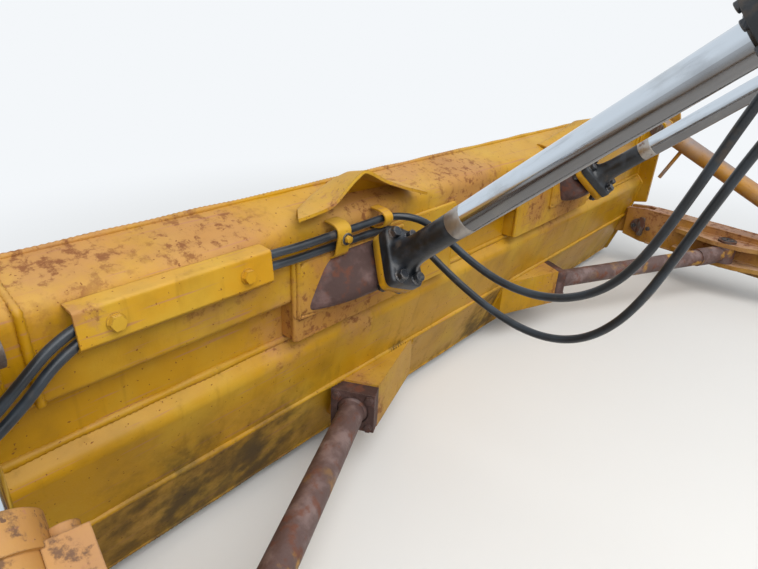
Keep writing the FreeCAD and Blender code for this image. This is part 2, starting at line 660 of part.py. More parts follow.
for name, side in SIDES:
    a_pt = (side * LINK_A[0], LINK_A[1], LINK_A[2])
    b_pt = (side * LINK_B[0], LINK_B[1], LINK_B[2])
    way = unit((b_pt[0] - a_pt[0], b_pt[1] - a_pt[1], b_pt[2] - a_pt[2]))
    lug_shape = [(176.6, 772.0), (232.0, 806.0), (288.0, 872.0), (306.0, 915.0),
                 (290.0, 950.0), (255.0, 966.0), (215.0, 962.0), (176.6, 948.0)]
    cheeks = []
    for low_x in (LINK_A[0] - 70.0, LINK_A[0] + 50.0):
        cheeks.append(across_x("link_cheek", lug_shape, low_x, low_x + 20.0, side))
    pad = block("link_pad", (side * (LINK_A[0] - 86.0), 176.3, 752.0),
                (side * (LINK_A[0] + 86.0), 188.0, 905.0))
    drill = bar("cheek_hole", (side * (LINK_A[0] - 118.0), a_pt[1], a_pt[2]),
                (side * (LINK_A[0] + 122.0), a_pt[1], a_pt[2]), LINK_PIN_R + 0.05)
    node(cut("link_lug", join("link_lug", cheeks + [pad]), [drill]), "link_lug_" + name)

    pins = []
    for spot in (a_pt, b_pt):
        pin = bar("link_pin", (spot[0] - 76.0, spot[1], spot[2]),
                  (spot[0] + 76.0, spot[1], spot[2]), LINK_PIN_R)
        ring_one = bar("pin_ring", (spot[0] - 84.0, spot[1], spot[2]),
                       (spot[0] - 70.4, spot[1], spot[2]), LINK_PIN_R + 9.0)
        ring_two = bar("pin_ring", (spot[0] + 70.4, spot[1], spot[2]),
                       (spot[0] + 84.0, spot[1], spot[2]), LINK_PIN_R + 9.0)
        pins += [pin, ring_one, ring_two]
    node(join("link_pins", pins), "link_pins_" + name)

    eye_a = bar("link_eye", (a_pt[0] - 46.0, a_pt[1], a_pt[2]),
                (a_pt[0] + 46.0, a_pt[1], a_pt[2]), LINK_PIN_R + 19.0)
    eye_b = bar("link_eye", (b_pt[0] - 46.0, b_pt[1], b_pt[2]),
                (b_pt[0] + 46.0, b_pt[1], b_pt[2]), LINK_PIN_R + 19.0)
    bore_a = bar("link_bore", (a_pt[0] - 60.0, a_pt[1], a_pt[2]),
                 (a_pt[0] + 60.0, a_pt[1], a_pt[2]), LINK_PIN_R + 0.05)
    bore_b = bar("link_bore", (b_pt[0] - 60.0, b_pt[1], b_pt[2]),
                 (b_pt[0] + 60.0, b_pt[1], b_pt[2]), LINK_PIN_R + 0.05)
    length = math.sqrt(sum((b_pt[i] - a_pt[i]) ** 2 for i in range(3)))
    if side < 0:
        tube = bar("strut_tube", at(a_pt, way, 110.0), at(a_pt, way, length - 110.0), 48.0)
        front = bar("strut_screw", at(a_pt, way, 30.0), at(a_pt, way, 112.0), 37.0)
        rear = bar("strut_screw", at(a_pt, way, length - 112.0), at(a_pt, way, length - 30.0),
                   37.0)
        hold = at(a_pt, way, 170.0)
        lever = bar("strut_lever", hold, (hold[0] - 15.0, hold[1] - 100.0, hold[2] - 210.0),
                    11.0)
        solid = cut("strut", join("strut", [eye_a, eye_b, tube, front, rear, lever]),
                    [bore_a, bore_b])
        node(solid, "strut_right")
    else:
        rod = bar("tilt_rod", at(a_pt, way, 30.0), at(a_pt, way, 620.0), 42.0)
        fork = bar("tilt_fork", at(a_pt, way, 92.0), at(a_pt, way, 118.0), 47.0)
        node(cut("tilt_rod", join("tilt_rod", [rod, fork, eye_a]), [bore_a]), "tilt_rod")
        tube = bar("tilt_tube", at(a_pt, way, 287.0), at(a_pt, way, length - 98.0), 66.0)
        gland = bar("tilt_gland", at(a_pt, way, 287.0), at(a_pt, way, 345.0), 72.0)
        tail = bar("tilt_tail", at(a_pt, way, length - 106.0), at(a_pt, way, length - 30.0),
                   39.0)
        inside = bar("tilt_bore", at(a_pt, way, 280.0), at(a_pt, way, 640.0), 42.3)
        elbows = block("tilt_elbows", (PORT_X - 47.0, PORT_Y, 702.0),
                       (PORT_X + 18.0, PORT_Y + 60.0, 788.0))
        solid = join("tilt_barrel", [tube, gland, tail, eye_b, elbows])
        node(cut("tilt_barrel", solid, [inside, bore_b]), "tilt_barrel")
        port = at(a_pt, way, 392.0)
        turn = R(V(1, 0, 0), V(0, 0, 1), V(*way), "ZXY")
        mount = slab("port_block", (port[0] - 84.0, port[1], port[2] + 8.0), turn,
                     (62.0, 74.0, 210.0), -40.0)
        skin = bar("port_skin", at(a_pt, way, 250.0), at(a_pt, way, 900.0), 66.3)
        ring = bar("port_skin", at(a_pt, way, 250.0), at(a_pt, way, 345.3), 72.3)
        boss = bar("port_boss", at((port[0] - 86.0, port[1], port[2] + 8.0), way, -58.0),
                   at((port[0] - 86.0, port[1], port[2] + 8.0), way, -30.0), 24.0)
        solid = cut("port_block", join("port_block", [mount, boss]), [skin, ring])
        node(solid, "tilt_port_block")

# Lift cylinders: rod, its ball cap and socket, gland and barrel.

T_SHANK = 290.0
T_ROD = 1404.0
T_BARREL = 1070.0
T_GLAND = T_BARREL - 110.0
T_END = 2200.0
T_PIVOT = 1900.0

for name, side in SIDES:
    centre = (side * BALL_X, BALL_Y, BALL_Z)
    way = (0.0, math.cos(RISE), math.sin(RISE))
    back = (0.0, -way[1], -way[2])
    upright = V(0.0, -way[2], way[1])
    twist = R(V(*way), -25.0 * side)
    tall = twist.multVec(upright)
    wide = tall.cross(V(*way))
    turn = R(wide, tall, V(*way), "ZXY")
    body = slab("rod_socket", centre, turn, (114.0, 192.0, 50.0), 0.3)
    taper = cone("rod_taper", at(centre, way, 40.0), at(centre, way, 112.0), 62.0, 44.0)
    shank = bar("rod_shank", at(centre, way, 60.0), at(centre, way, T_SHANK), 40.0)
    hollow = ball("socket_hollow", centre, BALL_R + 0.3, way)
    node(cut("rod_socket", join("rod_socket", [body, taper, shank]), [hollow]),
         "rod_socket_" + name)

    plate = slab("rod_cap", centre, turn, (112.0, 190.0, 34.0), -34.3)
    heads = []
    for u in (-26.0, 26.0):
        for w in (-72.0, 72.0):
            spot = V(*centre) + wide * u + tall * w + V(*back) * 34.0
            heads.append(hexagon("cap_bolt", (spot.x, spot.y, spot.z), back, 27.0, 12.0))
    mouth = cone("cap_mouth", at(centre, back, 2.0), at(centre, back, 60.0),
                 2.0 * math.tan(math.radians(54.0)), 60.0 * math.tan(math.radians(54.0)))
    hollow = ball("cap_hollow", centre, BALL_R + 0.3, way)
    node(cut("rod_cap", join("rod_cap", [plate] + heads), [hollow, mouth]), "rod_cap_" + name)

    rod = bar("lift_rod", at(centre, way, T_SHANK + 0.2), at(centre, way, T_ROD - 20.0), 40.0)
    piston = bar("lift_piston", at(centre, way, T_ROD - 36.0), at(centre, way, T_ROD), 58.95)
    node(join("lift_rod", [rod, piston]), "lift_rod_" + name)

    tube = bar("barrel_tube", at(centre, way, T_BARREL), at(centre, way, T_END), 70.0)
    stub_one = bar("barrel_stub", (centre[0] - 106.7, at(centre, way, T_PIVOT)[1],
                                   at(centre, way, T_PIVOT)[2]),
                   (centre[0] + 106.7, at(centre, way, T_PIVOT)[1],
                    at(centre, way, T_PIVOT)[2]), 34.0)
    band = bar("barrel_band", at(centre, way, T_PIVOT - 55.0), at(centre, way, T_PIVOT + 55.0),
               82.0)
    rear = bar("barrel_head", at(centre, way, T_END - 34.0), at(centre, way, T_END), 76.0)
    inside = bar("barrel_bore", at(centre, way, T_BARREL - 30.0), at(centre, way, T_END - 20.0),
                 59.0)
    solid = join("lift_barrel", [tube, stub_one, band, rear])
    node(cut("lift_barrel", solid, [inside]), "lift_barrel_" + name)

    ring = bar("lift_gland", at(centre, way, T_GLAND), at(centre, way, T_BARREL - 0.3), 82.5)
    bore = bar("gland_bore", at(centre, way, T_GLAND - 20.0), at(centre, way, T_BARREL + 20.0),
               40.06)
    node(cut("lift_gland", ring, [bore]), "lift_gland_" + name)

    # Yoke that stands for the bearing on the machine's front.
    pivot = at(centre, way, T_PIVOT)
    py = pivot[1]
    pz = pivot[2]
    cheek = [(py + 158.0, pz - 330.0), (py + 196.0, pz - 330.0), (py + 196.0, pz - 66.0),
             (py + 60.0, pz + 52.0), (py, pz + 66.0), (py - 60.0, pz + 34.0),
             (py - 68.0, pz - 26.0)]
    cheeks = []
    for low_x in (BALL_X - 137.0, BALL_X + 107.0):
        cheeks.append(across_x("yoke_cheek", cheek, low_x, low_x + 30.0, side,
                               [(py + 60.0, pz + 52.0, 40.0), (py - 60.0, pz + 34.0, 30.0),
                                (py - 68.0, pz - 26.0, 20.0)]))
    plate = block("yoke_plate", (side * (BALL_X - 170.0), py + 196.0 - 0.5, pz - 370.0),
                  (side * (BALL_X + 170.0), py + 226.0, pz - 60.0))
    caps = [bar("yoke_cap", (side * (BALL_X - 150.0), py, pz),
                (side * (BALL_X - 136.0), py, pz), 46.0),
            bar("yoke_cap", (side * (BALL_X + 136.0), py, pz),
                (side * (BALL_X + 150.0), py, pz), 46.0)]
    drills = []
    for x in (-135.0, 135.0):
        for z in (pz - 345.0, pz - 215.0):
            drills.append(bar("yoke_hole", (side * BALL_X + x, py + 180.0, z),
                              (side * BALL_X + x, py + 240.0, z), 11.0))
    solid = cut("lift_yoke", join("lift_yoke", cheeks + [plate] + caps), drills)
    node(solid, "lift_yoke_" + name)

PIVOT = at((BALL_X, BALL_Y, BALL_Z), (0.0, math.cos(RISE), math.sin(RISE)), T_PIVOT)

# Hose ends on the left yoke, carried by its inner cheek.

FIT_X = BALL_X - 137.0 - 16.0
FIT_A = (FIT_X, PIVOT[1] + 40.0, PIVOT[2] - 190.0)
FIT_B = (FIT_X, PIVOT[1] + 40.0, PIVOT[2] - 250.0)
fittings = [block("fitting_block", (FIT_X - 16.0, FIT_A[1] + 26.0, FIT_B[2] - 22.0),
                  (FIT_X + 15.7, FIT_A[1] + 138.0, FIT_A[2] + 22.0))]
for spot in (FIT_A, FIT_B):
    fittings.append(bar("fitting", (spot[0], spot[1] + 0.3, spot[2]),
                        (spot[0], spot[1] + 28.0, spot[2]), 15.0))
FITTING = join("hose_fittings", fittings)
node(FITTING, "hose_fittings")

# Hoses: straight runs joined by tangent arcs.

HOSE_UPPER = [(PORT_X, PORT_Y - 0.3, 765.0), (PORT_X, 470.0, 765.0), (1893.0, 362.0, 750.0),
              (1862.0, 270.0, 732.0), (1798.0, 218.0, 719.0), (1722.0, 204.0, 738.0),
              (1652.0, 202.0, 794.0), (1576.0, 201.0, 858.0), (1470.0, 200.0, 888.0),
              (1310.0, 200.5, 893.0), (1150.0, 200.2, 892.5), (1075.0, 203.5, 893.0),
              (1000.0, 212.0, 893.5), (910.0, 215.8, 896.5), (815.0, 215.0, 897.2),
              (735.0, 221.0, 903.0), (665.0, 248.0, 914.0), (604.0, 296.0, 902.0),
              (584.0, 366.0, 866.0), (582.0, 470.0, 818.0), (582.0, 570.0, 788.0),
              (581.0, 670.0, 784.0), (580.0, 760.0, 806.0), (579.0, 842.0, 860.0),
              (578.0, 900.0, 940.0), (576.0, 944.0, 1050.0), (574.0, 986.0, 1180.0),
              (572.0, 1030.0, 1320.0), (570.0, 1078.0, 1450.0), (568.0, 1140.0, 1570.0),
              (566.0, 1226.0, 1678.0), (564.0, 1340.0, 1764.0), (562.5, 1480.0, 1826.0),
              (FIT_X, 1620.0, FIT_A[2]), FIT_A]
HOSE_LOWER = [(PORT_X, PORT_Y - 0.3, 725.0), (PORT_X, 470.0, 725.0), (1893.0, 360.0, 710.0),
              (1862.0, 270.0, 690.0), (1798.0, 214.0, 680.0), (1722.0, 202.0, 700.0),
              (1646.0, 202.0, 754.0), (1580.0, 202.0, 818.0), (1490.0, 202.0, 857.0),
              (1330.0, 201.0, 865.0), (1170.0, 201.5, 864.5), (1060.0, 198.0, 865.0),
              (985.0, 191.5, 872.0), (900.0, 190.2, 888.0), (815.0, 190.6, 897.0),
              (735.0, 190.4, 897.2), (655.0, 190.8, 896.8), (590.0, 206.0, 876.0),
              (556.0, 250.0, 830.0), (549.0, 325.0, 778.0), (547.0, 420.0, 726.0),
              (546.0, 520.0, 682.0), (545.0, 620.0, 656.0), (543.0, 720.0, 656.0),
              (541.0, 806.0, 690.0), (540.0, 876.0, 760.0), (539.0, 928.0, 860.0),
              (538.0, 968.0, 980.0), (538.0, 1006.0, 1100.0), (539.0, 1050.0, 1230.0),
              (540.0, 1104.0, 1360.0), (542.0, 1170.0, 1480.0), (544.0, 1256.0, 1590.0),
              (547.0, 1364.0, 1684.0), (551.0, 1496.0, 1756.0),
              (FIT_X, 1636.0, FIT_B[2]), FIT_B]


def hose(name, points):
    """Build a hose as a tube of straight runs and tangent arcs."""
    spots = [V(*p) for p in points]
    edges = []
    radii = []
    last = spots[0]
    for i in range(1, len(spots) - 1):
        before = spots[i - 1] - spots[i]
        after = spots[i + 1] - spots[i]
        short = min(before.Length, after.Length)
        u = V(before)
        u.normalize()
        w = V(after)
        w.normalize()
        half = (math.pi - math.acos(max(-1.0, min(1.0, u.dot(w))))) / 2.0
        reach = 0.45 * short
        radius = reach / math.tan(half)
        radii.append(radius)
        one = spots[i] + u * reach
        two = spots[i] + w * reach
        middle = u + w
        middle.normalize()
        centre = spots[i] + middle * (radius / math.cos(half))
        top = centre - middle * radius
        edges.append(Part.makeLine(last, one))
        edges.append(Part.Arc(one, top, two).toShape())
        last = two
    edges.append(Part.makeLine(last, spots[-1]))
    wire = Part.Wire(edges)
    start = spots[1] - spots[0]
    ring = Part.Wire([Part.makeCircle(HOSE_R, spots[0], start)])
    pipe = wire.makePipeShell([ring], True, True)
    holder = DOC.addObject("Part::Feature", fresh(name))
    holder.Shape = pipe
    runs = [(spots[i + 1] - spots[i]).Length for i in range(len(spots) - 1)]
    print(name, "tightest radius", round(min(radii), 1), "path", round(wire.Length, 1),
          "volume share", round(pipe.Volume / (math.pi * HOSE_R ** 2 * wire.Length), 4),
          "longest run", round(max(runs), 1),
          "ratio", round(max(max(runs[i] / runs[i + 1], runs[i + 1] / runs[i])
                             for i in range(len(runs) - 1)), 2))
    node(holder, name)


hose("hose_upper", HOSE_UPPER)
hose("hose_lower", HOSE_LOWER)

DOC.recompute()
faults = []
for obj in DOC.Objects:
    if "Invalid" in obj.State or "Error" in obj.State:
        faults.append(obj.Name + " " + obj.TypeId + " state " + str(obj.State))
for obj in NODES:
    if obj.Shape.isNull() or not obj.Shape.isValid():
        faults.append(obj.Label + " shape")
        continue
    solids = len(obj.Shape.Solids)
    box = obj.Shape.BoundBox
    print(obj.Label, "solids", solids, "volume litres", round(obj.Shape.Volume / 1.0e6, 3),
          "box", [round(v) for v in (box.XMin, box.XMax, box.YMin, box.YMax,
                                     box.ZMin, box.ZMax)])
if faults:
    raise RuntimeError("faults: " + "; ".join(faults))

os.makedirs("parts", exist_ok=True)
for obj in NODES:
    obj.Shape.exportStep("parts/%s.step" % obj.Label)
print("nodes", len(NODES), "sizes", COUNT["row"])
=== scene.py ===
import logging
import math
from dataclasses import dataclass
from enum import Enum
from typing import Any

import bmesh
import bpy
import numpy as np
from mathutils import Matrix, Vector

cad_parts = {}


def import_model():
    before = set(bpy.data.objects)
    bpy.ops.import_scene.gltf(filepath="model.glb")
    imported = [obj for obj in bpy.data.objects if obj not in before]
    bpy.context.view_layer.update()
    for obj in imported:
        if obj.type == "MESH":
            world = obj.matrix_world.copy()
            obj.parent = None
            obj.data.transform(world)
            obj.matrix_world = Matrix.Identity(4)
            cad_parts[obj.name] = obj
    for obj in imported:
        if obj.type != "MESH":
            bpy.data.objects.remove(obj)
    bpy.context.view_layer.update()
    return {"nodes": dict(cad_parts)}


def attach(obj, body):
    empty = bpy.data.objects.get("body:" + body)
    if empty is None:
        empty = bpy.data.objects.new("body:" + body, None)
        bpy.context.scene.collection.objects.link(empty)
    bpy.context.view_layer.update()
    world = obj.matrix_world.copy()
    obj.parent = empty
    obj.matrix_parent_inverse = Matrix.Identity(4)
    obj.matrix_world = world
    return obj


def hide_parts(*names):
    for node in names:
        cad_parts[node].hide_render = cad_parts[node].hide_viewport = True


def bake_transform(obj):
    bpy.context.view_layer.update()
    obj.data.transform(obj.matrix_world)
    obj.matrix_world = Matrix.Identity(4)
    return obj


# The looks of a bulldozer blade assembly: paint, rust, chrome and rubber on the fixed frame,
# with the welds, forgings, fasteners and hoses that are made here as meshes.

LOG = logging.getLogger("blade")
ORIGIN = np.array((1650.0, 2300.0, 210.0))
RISE = math.radians(41.0)
WAY = np.array((0.0, math.cos(RISE), math.sin(RISE)))
BALL = np.array((705.0, 304.0, 801.0))
HALF = 1960.0
ACROSS = np.array((1.0, 0.0, 0.0))
REAR = np.array((0.0, 1.0, 0.0))
UP = np.array((0.0, 0.0, 1.0))

Spots = tuple[tuple[float, float, float, float], ...]


class Side(Enum):
    """The two sides of the machine, with the sign of x on each."""

    LEFT = 1.0
    RIGHT = -1.0

    @property
    def word(self) -> str:
        """Return the side's name as the nodes spell it."""
        return self.name.lower()

    @property
    def ball(self) -> np.ndarray:
        """Return the centre of the side's ball joint."""
        return BALL * (self.value, 1.0, 1.0)


class Soil(Enum):
    """How high, in metres, earth has dried on a painted surface."""

    LOW = -0.08
    HIGH = 0.04
    NONE = -9.0


def row(points: Any) -> np.ndarray:
    """Turn blade millimetres into metres of the shared frame.

    Args:
        points: One point or an array of points, x to the left, y to the rear and z up.

    Returns:
        The same array, less the origin and divided by a thousand.
    """
    return (np.asarray(points, float) - ORIGIN) / 1000.0


def linear(code: str) -> tuple[float, ...]:
    """Turn an sRGB hex code into a linear colour.

    Args:
        code: Six hex digits after a hash.

    Returns:
        Red, green, blue and one, by the sRGB curve: up to 0.04045 the value is divided by
        12.92, and above it is ((v + 0.055) / 1.055) to the power 2.4.
    """
    value = np.array([int(code[i:i + 2], 16) for i in (1, 3, 5)]) / 255.0
    curved = np.where(value <= 0.04045, value / 12.92, ((value + 0.055) / 1.055) ** 2.4)
    return (*curved.tolist(), 1.0)


# Surfaces on grids.


def unit(vectors: np.ndarray) -> np.ndarray:
    """Scale vectors to length one along the last axis."""
    return vectors / np.linalg.norm(vectors, axis=-1, keepdims=True)


def along(points: Any, step: float) -> np.ndarray:
    """Divide a polyline into even steps.

    Args:
        points: Corners of the line, in millimetres.
        step: Wanted distance between the new points.

    Returns:
        Points at equal lengths along the line, each coordinate read off against length.
    """
    line = np.asarray(points, float)
    length = np.concatenate(([0.0], np.cumsum(np.linalg.norm(np.diff(line, axis=0), axis=1))))
    count = max(2, int(round(length[-1] / step)) + 1)
    at = np.linspace(0.0, length[-1], count)
    return np.stack([np.interp(at, length, line[:, k]) for k in range(3)], axis=1)


def ease(points: np.ndarray, times: int) -> np.ndarray:
    """Round a line's corners but keep its ends.

    Args:
        points: Points of the line, or a row of points at each step of it.
        times: How often each point moves half-way to the mean of its neighbours.

    Returns:
        The rounded line.
    """
    soft = points.copy()
    for _ in range(times):
        soft[1:-1] = 0.25 * soft[:-2] + 0.5 * soft[1:-1] + 0.25 * soft[2:]
    return soft


def ovals(wide: Any, tall: Any, power: Any, rows: int,
          sides: int) -> tuple[np.ndarray, np.ndarray]:
    """Draw one superellipse for each row of a grid.

    Across is wide times the cosine of the angle, raised to 2 / power with its sign kept,
    and up is tall times the sine, raised in the same way.

    Args:
        wide: Half width at each row, or one number.
        tall: Half height at each row, or one number.
        power: Two for an ellipse and more for a squarer section.
        rows: Number of rows.
        sides: Number of points round the section.

    Returns:
        The sections' points across and up, with a last axis of one.
    """
    angle = np.linspace(0.0, math.tau, sides, endpoint=False)[None, :]
    bend = 2.0 / (np.zeros(rows) + power)[:, None]
    both = []
    for wave, half in ((np.cos(angle), wide), (np.sin(angle), tall)):
        shape = np.sign(wave) * np.abs(wave) ** bend
        both.append((shape * (np.zeros(rows) + half)[:, None])[..., None])
    return both[0], both[1]


def sweep(path: np.ndarray, wide: Any, tall: Any, power: Any, guide: Any,
          sides: int = 16) -> np.ndarray:
    """Carry a superellipse along a path.

    Args:
        path: Points of the path, in millimetres.
        wide: Half width along guide cross tangent, at each point or one number.
        tall: Half height square to that, at each point or one number.
        power: Two for an ellipse and more for a squarer section.
        guide: A direction that the path never runs along.
        sides: Number of points round the section.

    Returns:
        A grid of points, one row for each point of the path.
    """
    tangent = unit(np.gradient(path, axis=0))
    across = unit(np.cross(np.asarray(guide, float), tangent))
    up = np.cross(tangent, across)
    u, v = ovals(wide, tall, power, len(path), sides)
    return path[:, None, :] + u * across[:, None, :] + v * up[:, None, :]


def around(start: Any, way: Any, levels: np.ndarray, radius: np.ndarray,
           spin: float = 0.0) -> np.ndarray:
    """Set rings of points round a straight axis.

    Args:
        start: Point on the axis where the levels begin.
        way: Direction of the axis.
        levels: Distance of each ring along the axis.
        radius: Radius of each point, one row for each ring.
        spin: Turn about the axis, in radians.

    Returns:
        A grid: start plus level times way plus radius times a circle square to way.
    """
    way = unit(np.asarray(way, float))
    across = unit(np.cross(np.eye(3)[int(np.argmin(np.abs(way)))], way))
    angle = np.linspace(0.0, math.tau, radius.shape[1], endpoint=False)[:, None] + spin
    circle = np.cos(angle) * across + np.sin(angle) * np.cross(way, across)
    centre = np.asarray(start, float) + levels[:, None] * way
    return centre[:, None, :] + radius[..., None] * circle


def turned(start: Any, way: Any, profile: Any, sides: int = 32) -> np.ndarray:
    """Turn a profile, rows of distance and radius, about an axis from start along way."""
    shape = np.asarray(profile, float)
    return around(start, way, shape[:, 0], shape[:, 1:] + np.zeros(sides))


def hexed(start: Any, way: Any, flats: float, height: float, spin: float = 0.0) -> np.ndarray:
    """Shape a bolt head: a hexagon whose upper corners are taken off by a cone.

    The radius is half the width over flats divided by the cosine of the angle from the
    nearest flat's middle, and near the top it is no more than the cone's radius there.

    Args:
        start: Centre of the seat.
        way: Direction in which the head stands.
        flats: Width over the flats.
        height: Height of the head.
        spin: Turn about the axis, in radians.

    Returns:
        A grid of four rows of thirty-six points.
    """
    angle = np.linspace(0.0, math.tau, 36, endpoint=False)
    corner = 0.5 * flats / np.cos(np.mod(angle, math.pi / 3.0) - math.pi / 6.0)
    cone = 0.5 * flats * np.array((1.2, 1.16, 1.0, 0.94))
    levels = np.array((0.0, 0.80, 0.96, 1.0)) * height
    return around(start, way, levels, np.minimum(corner[None, :], cone[:, None]), spin)


class Skin:
    """Points and faces of one piece, gathered from several grids."""

    def __init__(self) -> None:
        """Start empty."""
        self.points: list[np.ndarray] = []
        self.faces: list[list[int]] = []
        self.count = 0

    def grid(self, points: np.ndarray, ring: bool = False, ends: bool = True) -> "Skin":
        """Add a grid that closes round its columns.

        Args:
            points: Rows by columns of points, in blade millimetres.
            ring: Whether the last row joins the first.
            ends: Whether the first and last rows are closed with a point at their mean.

        Returns:
            The skin itself.
        """
        rows, columns = points.shape[:2]
        i, j = np.meshgrid(np.arange(rows if ring else rows - 1), np.arange(columns),
                           indexing="ij")
        k = (i + 1) % rows
        m = (j + 1) % columns
        quads = np.stack((i * columns + j, i * columns + m, k * columns + m,
                          k * columns + j), axis=-1).reshape(-1, 4) + self.count
        self.faces += quads.tolist()
        self.points.append(points.reshape(-1, 3))
        first = self.count
        self.count += rows * columns
        if ends and not ring:
            turn = np.arange(columns)
            after = (turn + 1) % columns
            last = first + (rows - 1) * columns
            self.points.append(points[[0, -1]].mean(axis=1))
            low = np.stack((turn * 0 + self.count, first + after, first + turn), axis=1)
            high = np.stack((turn * 0 + self.count + 1, last + turn, last + after), axis=1)
            self.faces += low.tolist() + high.tolist()
            self.count += 2
        return self

    def piece(self, name: str, body: str, finish: bpy.types.Material, slot: str,
              sharp: float = 40.0, instead: str = "") -> bpy.types.Object:
        """Make the mesh object and let it ride on a body.

        Args:
            name: Name of the piece.
            body: Name of the CAD body that carries it.
            finish: Its material.
            slot: Name of a material slot; only whether it is empty is read, to decide whether
                the piece is logged.
            sharp: Angle in degrees over which an edge stays sharp.
            instead: The CAD node that the piece replaces.

        Returns:
            The object, whose place is in its mesh.
        """
        mesh = bpy.data.meshes.new(name)
        mesh.from_pydata(row(np.concatenate(self.points)).tolist(), [], self.faces)
        form = bmesh.new()
        form.from_mesh(mesh)
        bmesh.ops.remove_doubles(form, verts=form.verts, dist=1e-5)
        bmesh.ops.recalc_face_normals(form, faces=form.faces)
        form.to_mesh(mesh)
        form.free()
        mesh.shade_smooth()
        mesh.set_sharp_from_angle(angle=math.radians(sharp))
        mesh.materials.append(finish)
        made = bpy.data.objects.new(name, mesh)
        bpy.context.scene.collection.objects.link(made)
        if body:
            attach(made, body)
        if slot:
            LOG.info("piece %s on %s, %d faces", name, body or "two", len(mesh.polygons))
        if instead:
            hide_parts(instead)
        return made


# Finishes.


def add(tree: bpy.types.NodeTree, kind: str, inputs: dict[Any, Any] | None = None,
        out: Any = 0, **settings: Any) -> bpy.types.NodeSocket | None:
    """Add one node with its settings and links.

    Args:
        tree: The material's or world's node tree.
        kind: The shader node's type, without its prefix.
        inputs: For each input, by name or number, a value or the output to link to it.
        out: Name or number of the wanted output.
        **settings: Properties to set on the node.

    Returns:
        The wanted output, or nothing if the node has none.
    """
    node = tree.nodes.new("ShaderNode" + kind)
    for key, value in settings.items():
        setattr(node, key, value)
    for key, value in (inputs or {}).items():
        if isinstance(value, bpy.types.NodeSocket):
            tree.links.new(value, node.inputs[key])
        else:
            node.inputs[key].default_value = value
    return node.outputs[out] if len(node.outputs) else None


